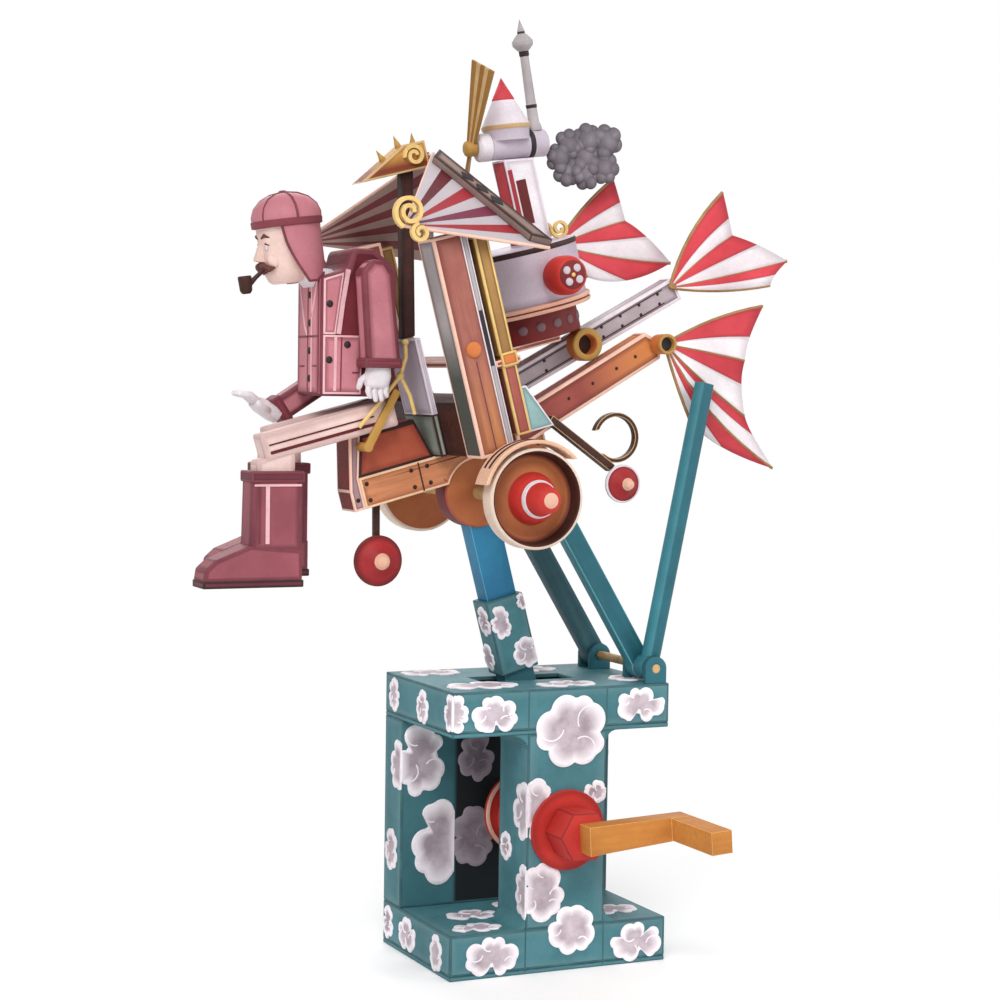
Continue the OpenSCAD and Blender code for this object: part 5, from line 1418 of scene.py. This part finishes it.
coat_face = wall(at(PILOT, COAT_FRONT, 0, 0), -ACROSS, UP)
for points, width, number in front_seams:
    drawn(seams, coat_face, points, width, 0.15, number)
piece("coat_seams", "machine", seams, ["coat_line", "pink_line"])
buttons = [(at(PILOT, x, side * PANEL_SIDE, z), side * ACROSS) for side in (-1, 1)
           for x, z in ((-14.4, 27), (-20.6, 40), (-20.6, 22))]
buttons += [(at(PILOT, COAT_FRONT, -1.6, z), Vector((-1, 0, 0))) for z in (16, 25, 34, 43)]
studded("coat_buttons", "machine", buttons, 1.2, 0.6, "shadow_card")
print("coat made,", len(buttons), "buttons")

# %% [markdown]
# The near arm hangs as a flat sleeve down to its cuff; the far arm reaches forward to the knee. A glove is
# an oval palm with five rolled fingers.

# %% Arms and gloves
near_arm = [(-12.6, 50.5), (-9, 54.5), (-4.6, 54), (-1.8, 50), (1.4, 20.4), (-10.4, 20.4)]
far_arm = [(-10.6, 50.5), (-6.5, 54.5), (-2, 54), (0.4, 50), (1, 20.4), (-11, 20.4)]
forearm = [(-2.8, 16.9), (-26.3, 1.7), (-30.7, 8.4), (-7.2, 23.6)]
card_piece("pilot_sleeves", [(near_arm, -20.3, -12.4), (far_arm, 12.4, 20.3), (forearm, 12.6, 20.1)],
           ["pink_coat", "coat_line"], ["pilot_arms"], "pink_card", PILOT, rounding=1.2, border=0.4, fade=2.5)
near_cuff = block_outline(-11.5, 1.5, 19.6, 22.8)
far_cuff = [(-23.4, 2.7), (-26.6, 0.6), (-31.7, 8.5), (-28.5, 10.6)]
card_piece("pilot_cuffs", [(near_cuff, -20.8, -12.3), (far_cuff, 12.3, 20.6)], ["maroon_boot", "coat_line"],
           slot="pink_card", place=PILOT, rounding=0.7, border=0.25, fade=1)
gloves = bmesh.new()
near_palm = [(13.2, -0.4, 3.4, 1.9), (14.2, -0.3, 4.2, 2.5), (17, 0, 4.5, 2.7), (19.8, 0.2, 4.1, 2.5)]
lofted(gloves, moved(PILOT, -5.6, -16.8, 0), near_palm, 0)
for x, tip in ((-8.6, 10.4), (-6.6, 9.4), (-4.6, 9.6), (-2.8, 10.8)):
    rolled(gloves, PILOT, [(x, -17, 14), (x - 0.4, -17.3, 12), (x + 0.4, -16.8, tip)], [1.1, 1.05, 0.85], 0)
rolled(gloves, PILOT, [(-9, -16.2, 17), (-11, -15.8, 15.4), (-11.6, -15.6, 13.4)], [1.3, 1.15, 0.95], 0)
hand = spun(moved(PILOT, -31.5, 15.4, 5), -58, "Y")
lofted(gloves, hand, [(-3.5, 0, 2.4, 3.6), (-1, 0, 2.8, 4.4), (4, 0, 2.6, 4.6), (6, 0, 2, 4)], 0)
for y in (-3.2, -1.1, 1.1, 3.2):
    rolled(gloves, hand, [(0, y, 5), (0.6, y, 9), (-0.8, y, 12.2)], [1.25, 1.2, 1.0], 0)
rolled(gloves, hand, [(-0.5, -3.6, 1.5), (-1.2, -6, 3.4), (-0.8, -6.8, 6)], [1.4, 1.3, 1.1], 0)
piece("pilot_gloves", "machine", gloves, ["glove_card"], smooth=70)
print("arms and gloves made")

# %% [markdown]
# Trousers are pale, with dark stripes along the thigh, and the boots are tall, with a cuff, a sole and a
# light stripe up the shaft.

# %% Trousers and boots
hip, half_thigh = Vector((3, 5.48)), 4.5
along_thigh = Vector((-math.cos(PITCH), -math.sin(PITCH)))
square_to = Vector((-along_thigh.y, along_thigh.x))
trousers, shafts, feet, cuffs, soles = [], [], [], [], []
stripes = bmesh.new()
for side, length, dx, dz in ((-1, 47, 0, 0), (1, 39, 7.73, 2.07)):
    low, high = sorted((side * 4, side * 12))
    thigh = [hip + along_thigh * out + square_to * half_thigh * sign
             for out, sign in ((0, 1), (length, 1), (length + 0.2, -1), (0, -1))]
    shin = block_outline(-44.4 + dx, -31.4 + dx, -15.6 + dz, -10.6 + dz)
    shin[2] = (shin[2][0], -6.4 + dz)
    trousers += [(thigh, low, high), (shin, low + 0.25, high - 0.25)]
    for share, width in ((0.44, 1.0), (-0.12, 0.5)):
        ends = [hip + along_thigh * out + square_to * half_thigh * share for out in (8, length - 2)]
        drawn(stripes, side_of(PILOT, 12, side), [(-side * end.x, end.y) for end in ends], width, 0.2, 0)
    low, high = sorted((side * 2.5, side * 13.5))
    heel, front, toe, top_z, sole = -29.4 + dx, -46.4 + dx, -62.4 + dx, -13.98 + dz, -50.98 + dz
    shaft = [(heel, top_z), (front, top_z), (front - 0.6, sole + 11), (heel, sole + 11)]
    foot = [(heel, sole + 2), (heel, sole + 12), (front - 0.6, sole + 13.6), (toe + 4, sole + 9),
            (toe + 0.6, sole + 6), (toe, sole + 2)]
    cuff = block_outline(front - 0.5, heel + 0.5, top_z - 3.4, top_z + 0.2)
    shafts.append((shaft, low, high))
    feet.append((foot, low - 0.15, high + 0.15))
    soles.append((block_outline(toe - 0.2, heel + 0.4, sole, sole + 2.4), low - 0.3, high + 0.3))
    cuffs.append((cuff, low - 0.5, high + 0.5))
    for points, width, number in (
            ([(front + 5, top_z - 4.6), (front + 5, sole + 14)], 1.3, 1),
            ([(front + 2.6, top_z - 4.6), (front + 2.4, sole + 14)], 0.5, 2),
            ([(front + 0.6, top_z - 4.3), (heel - 0.6, top_z - 4.3)], 0.7, 1)):
        drawn(stripes, side_of(PILOT, 13.5, side), [(-side * x, z) for x, z in points], width, 0.3, number)
card_piece("pilot_trousers", trousers, ["pink_pale", "pink_pale"], ["pilot_legs"], "pink_card", PILOT,
           rounding=0.8, border=0.35, fade=2.5)
piece("pilot_stripes", "machine", stripes, ["dark_red_card", "pink_line", "coat_line"])
card_piece("pilot_boot_shafts", shafts, ["boot_card", "coat_line"], ["pilot_boots"], "pink_card", PILOT,
           rounding=1.2, border=0.35, fade=1.4)
for name, cards, names, rounding, border, fade in (
        ("pilot_boot_feet", feet, ["boot_card", "coat_line"], 0.7, 0.3, 0.6),
        ("pilot_boot_cuffs", cuffs, ["cuff_card", "coat_line"], 0.5, 0.25, 1),
        ("pilot_boot_soles", soles, ["cuff_card", "dark_line"], 0.4, 0.3, 1)):
    card_piece(name, cards, names, slot="pink_card", place=PILOT, rounding=rounding, border=border, fade=fade)
print("trousers and boots made")

# %% [markdown]
# The face is a plain one of this lesson's own: an oval with the eyes half way up, the nose ending half way
# from brow to chin, and a calm mouth under a moustache.

# %% Face
FACE = HEAD @ Matrix.Diagonal((0.82, 0.82, 1, 1))
head = bmesh.new()
lofted(head, FACE, [(-2.2, -3.4, 4.6, 4.2), (-1.4, -2.6, 7, 6.2), (1, -1.2, 9.6, 8.4), (5, -0.3, 11.2, 10.2),
                    (10, 0, 11.8, 11.2), (14, 0, 12, 11.8), (17.6, 0, 12, 12)], 0)
for side in (-1, 1):
    rolled(head, FACE, [(-9.6, side * 5.4, 5.6), (-8.8, side * 6.6, 4.8)], [2.0, 1.7], 0)
bridge = [(-9.5, 1.6, 12.6), (-11.2, 0.9, 12.6), (-14.6, 1.5, 7.2), (-15, 1.3, 6), (-11.4, 2.2, 5.2),
          (-9.5, 1.6, 5.2)]
nose = [[head.verts.new(at(FACE, x, side * y, z)) for x, y, z in bridge] for side in (-1, 1)]
finish_faces(head, skin(head, nose), 0)
piece("pilot_face", "machine", head, ["face_card"], ["pilot_head"], 60)
features = bmesh.new()
for side in (-1, 1):
    eye = spun(moved(FACE, -10.9, side * 4.3, 9.6) @ Matrix.Rotation(side * 0.38, 4, "Z"), -90, "Y")
    lofted(features, eye, [(-0.4, 0, 0.9, 1.7), (0.25, 0, 0.85, 1.6), (0.5, 0, 0.5, 1.1)], 0, 2.0, 20)
    lofted(features, eye, [(0, 0, 0.75, 0.75), (0.62, 0, 0.6, 0.6)], 1, 2.0, 16)
    lid = [(-11.2, 2.6, 10.7), (-11.1, 4.4, 11.1), (-10.3, 6.2, 10.5)]
    brow = [(-11.7, 2.2, 13), (-11.3, 4.6, 13.7), (-10, 6.8, 13)]
    moustache = [(-12.6, 0.9, 4.3), (-12.6, 3, 3.9), (-11.2, 5.6, 2.8), (-9.6, 7.4, 3.2)]
    for points, radii, number, sides in ((lid, [0.3, 0.4, 0.25], 2, 8), (brow, [0.45, 0.7, 0.35], 3, 10),
                                         (moustache, [1.1, 1.35, 0.95, 0.35], 3, 12)):
        rolled(features, FACE, [(x, side * y, z) for x, y, z in points], radii, number, sides)
rolled(features, FACE, [(-11.3, -2.2, 1.9), (-11.8, 0, 1.7), (-11.3, 2.2, 1.9)], [0.3, 0.55, 0.3], 4, 10)
feature_inks = ["glove_card", "shadow_card", "coat_line", "hair_card", "stripe_plum"]
piece("pilot_features", "machine", features, feature_inks, smooth=70)
print("face made")

# %% [markdown]
# The pipe is a turned bowl and a rolled stem. The bowl stays open, with a dark floor a little way down.

# %% Pipe
pipe_bowl = bmesh.new()
bowl_bands = [(-4.1, 0, 0), (-4.1, 1.3, 0), (-3.1, 2.0, 0), (0.2, 2.2, 0), (1.4, 2.25, 0), (1.7, 1.9, 0),
              (1.7, 1.5, 0), (0.6, 1.3, 1), (0.6, 0, 1)]
turned(pipe_bowl, bowl_bands, moved(HEAD, -17.3, -3, 0), 28, 0.2)
rolled(pipe_bowl, HEAD, [(-16.4, -3, -1.6), (-13.6, -3, 0.8), (-10.4, -2.8, 3)], [0.95, 0.75, 0.7], 0, 12)
piece("pilot_pipe_bowl", "machine", pipe_bowl, ["dark_brown_card", "shadow_card"], ["pilot_pipe"])
print("pipe made")

# %% [markdown]
# The cap is a dome of six panels over a dark band, with flaps down to the jaw. A flap is a curved sheet
# round the head whose lower edge falls steeply from the temple and rises again towards the neck.

# %% Cap and scarf
FLAP_TOP, FLAP_START, FLAP_COLUMNS = 17, 62, 22


def flap_edge(k, fall):
    """The height of a flap's lower edge at one of its columns."""
    return FLAP_TOP - fall * min(1, k / 7) ** 0.6 + 6.5 * max(0, (k - 10) / 12)


def round_head(radius, side, k, z):
    """A point of the flap's column k, at a distance from the head's middle."""
    a = math.radians(FLAP_START + (180 - FLAP_START) * k / FLAP_COLUMNS)
    return at(FACE, -radius * math.cos(a), side * radius * math.sin(a), z)


cap = bmesh.new()
lofted(cap, FACE, [(16.4, 0.3, 13.3, 13.3), (17.2, 0.3, 13.7, 13.6), (19.8, 0.3, 13.7, 13.6),
                   (22.4, 0.3, 12.6, 12.4), (24.8, 0.2, 9.7, 9.5), (26.3, 0, 5.6, 5.6), (26.8, 0, 2, 2)], 0,
       2.15)
lofted(cap, FACE, [(16, 0.2, 13.2, 13.2), (16.2, 0.2, 13.9, 13.9), (18.2, 0.2, 14.1, 14),
                   (18.4, 0.2, 13.6, 13.6)],
       1, 2.15)
for side in (-1, 1):
    columns = []
    for k in range(FLAP_COLUMNS + 1):
        foot = flap_edge(k, 19.5)
        levels = (FLAP_TOP, (FLAP_TOP + foot) / 2, foot)
        ring = [(13.3, z) for z in levels] + [(12.2, z) for z in levels[::-1]]
        columns.append([cap.verts.new(round_head(radius, side, k, z)) for radius, z in ring])
    finish_faces(cap, skin(cap, columns), 0)
bmesh.ops.remove_doubles(cap, verts=cap.verts, dist=0.002 * MM)
piece("pilot_cap_dome", "machine", cap, ["pink_coat", "maroon_boot"], ["pilot_cap"], 50)
dome = ((13.6, 18.2), (13.7, 19.8), (12.5, 22.4), (9.6, 24.8), (5.6, 26.3), (1.5, 26.8))
turns = [math.radians(30 + 60 * k) for k in range(6)]
cap_lines = [[at(FACE, 0.3 + r * math.cos(a), r * math.sin(a), z) for r, z in dome] for a in turns]
cap_lines += [[round_head(13.4, side, k, flap_edge(k, 19.2)) for k in range(FLAP_COLUMNS + 1)]
              for side in (-1, 1)]
ribbed("cap_seams", "machine", cap_lines, 0.42, "coat_line")
cap_top = (at(FACE, 0, 0, 26.8), HEAD.to_3x3() @ UP)
studded("cap_button", "machine", [cap_top], 1.7, 0.9, "coat_line")
neck = bmesh.new()
lofted(neck, moved(PILOT, -20, 0, 0), [(45.5, 2, 6.6, 7.4), (49.5, -1, 7.2, 8), (51.5, -3, 6.6, 7.4)], 0)
piece("pilot_scarf", "machine", neck, ["pale_card"], smooth=60)
print("cap and scarf made")

# %% [markdown]
# ## Studio
# A pale floor keeps a soft shadow under the box, and three broad lamps with a pale world give an even light
# in which a colour looks as it was written. The world and floor turn white only for the rays that show a
# background, so the background is white and the object gets no extra light for it.

# %% Floor, lamps and world
def background_rays(tree):
    """1 for the rays that show a background: the camera's, and those mirrored or bent on their way to it."""
    path = tree.nodes.new("ShaderNodeLightPath")
    seen = path.outputs["Is Camera Ray"]
    for name in ("Is Glossy Ray", "Is Transmission Ray"):
        seen = add_node(tree, "ShaderNodeMath", {0: seen, 1: path.outputs[name]},
                        operation="MAXIMUM").outputs[0]
    return seen


SKY_LIGHT, FLOOR_REACH = 0.5, 2.5
SHADOW_REACH = 0.06, 0.22
AIM = Vector((0, 0, 0.15))
world = bpy.data.worlds.new("studio")
bpy.context.scene.world = world
world.use_nodes = True
sky_tree = world.node_tree
sky_light = sky_tree.nodes["Background"]
sky_light.inputs["Color"].default_value = WHITE
feed(sky_tree, sky_light.inputs["Strength"], remap(sky_tree, background_rays(sky_tree), 0, 1, SKY_LIGHT, 1))

floor_mesh = bpy.data.meshes.new("floor")
corners = [(x * FLOOR_REACH, y * FLOOR_REACH, 0) for x, y in ((-1, -1), (1, -1), (1, 1), (-1, 1))]
floor_mesh.from_pydata(corners, [], [(0, 1, 2, 3)])
floor_sheet = bpy.data.objects.new("floor", floor_mesh)
bpy.context.scene.collection.objects.link(floor_sheet)
floor_sheet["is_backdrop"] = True
paper = bpy.data.materials.new("floor_paper")
paper.use_nodes = True
floor_tree = paper.node_tree
matte = floor_tree.nodes["Principled BSDF"]
matte.inputs["Base Color"].default_value = (0.95, 0.95, 0.95, 1)
matte.inputs["Roughness"].default_value = 0.9
distance = add_node(floor_tree, "ShaderNodeVectorMath", {0: on_object(floor_tree)}, operation="LENGTH")
far_off = remap(floor_tree, distance.outputs["Value"], *SHADOW_REACH, 0, 1, interpolation_type="SMOOTHSTEP")
shown = add_node(floor_tree, "ShaderNodeMath", {0: background_rays(floor_tree), 1: far_off},
                 operation="MULTIPLY")
white = add_node(floor_tree, "ShaderNodeEmission", {"Color": WHITE})
either = add_node(floor_tree, "ShaderNodeMixShader",
                  {0: shown.outputs[0], 1: matte.outputs["BSDF"], 2: white.outputs["Emission"]})
feed(floor_tree, floor_tree.nodes["Material Output"].inputs["Surface"], either.outputs["Shader"])
floor_mesh.materials.append(paper)


def lamp(name, place, size, energy):
    """A broad lamp that looks at the object's middle."""
    data = bpy.data.lights.new(name, "AREA")
    data.size = size
    data.energy = energy
    made = bpy.data.objects.new(name, data)
    made.location = place
    made.rotation_euler = (AIM - Vector(place)).to_track_quat("-Z", "Y").to_euler()
    bpy.context.scene.collection.objects.link(made)


lamp("key", (-0.75, -1.0, 1.25), 0.9, 20)
lamp("fill", (1.1, -0.8, 0.7), 1.0, 7)
lamp("back", (0.3, 1.2, 1.0), 0.8, 8)
print("studio lit")

# %% [markdown]
# ## Camera
# The camera stands where the photographer stood: a little left of the box's front, just above the wheels'
# height, with a long lens and a hair of roll.

# %% Camera
yaw, rise, roll = math.radians(-24.98), math.radians(2.89), math.radians(0.86)
behind = Vector((math.sin(yaw) * math.cos(rise), -math.cos(yaw) * math.cos(rise), math.sin(rise)))
across = Vector((math.cos(yaw), math.sin(yaw), 0))
upward = behind.cross(across)
camera = bpy.data.objects.new("camera", bpy.data.cameras.new("camera"))
camera.data.lens = 80.5
camera.data.sensor_width = 36
camera.matrix_world = Matrix((math.cos(roll) * across + math.sin(roll) * upward,
                              math.cos(roll) * upward - math.sin(roll) * across,
                              behind)).transposed().to_4x4()
camera.location = Vector((-331.7, -688.7, 194.4)) * MM
bpy.context.scene.collection.objects.link(camera)
bpy.context.scene.camera = camera
bpy.context.scene.view_settings.view_transform = "Standard"
print("camera set")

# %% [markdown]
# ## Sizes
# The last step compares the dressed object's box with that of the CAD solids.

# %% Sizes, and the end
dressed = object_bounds()
growth = [(dressed[1][k] - cad_box[1][k] + cad_box[0][k] - dressed[0][k]) / MM for k in range(3)]
print("visual grows by", [round(length, 1) for length in growth], "mm")
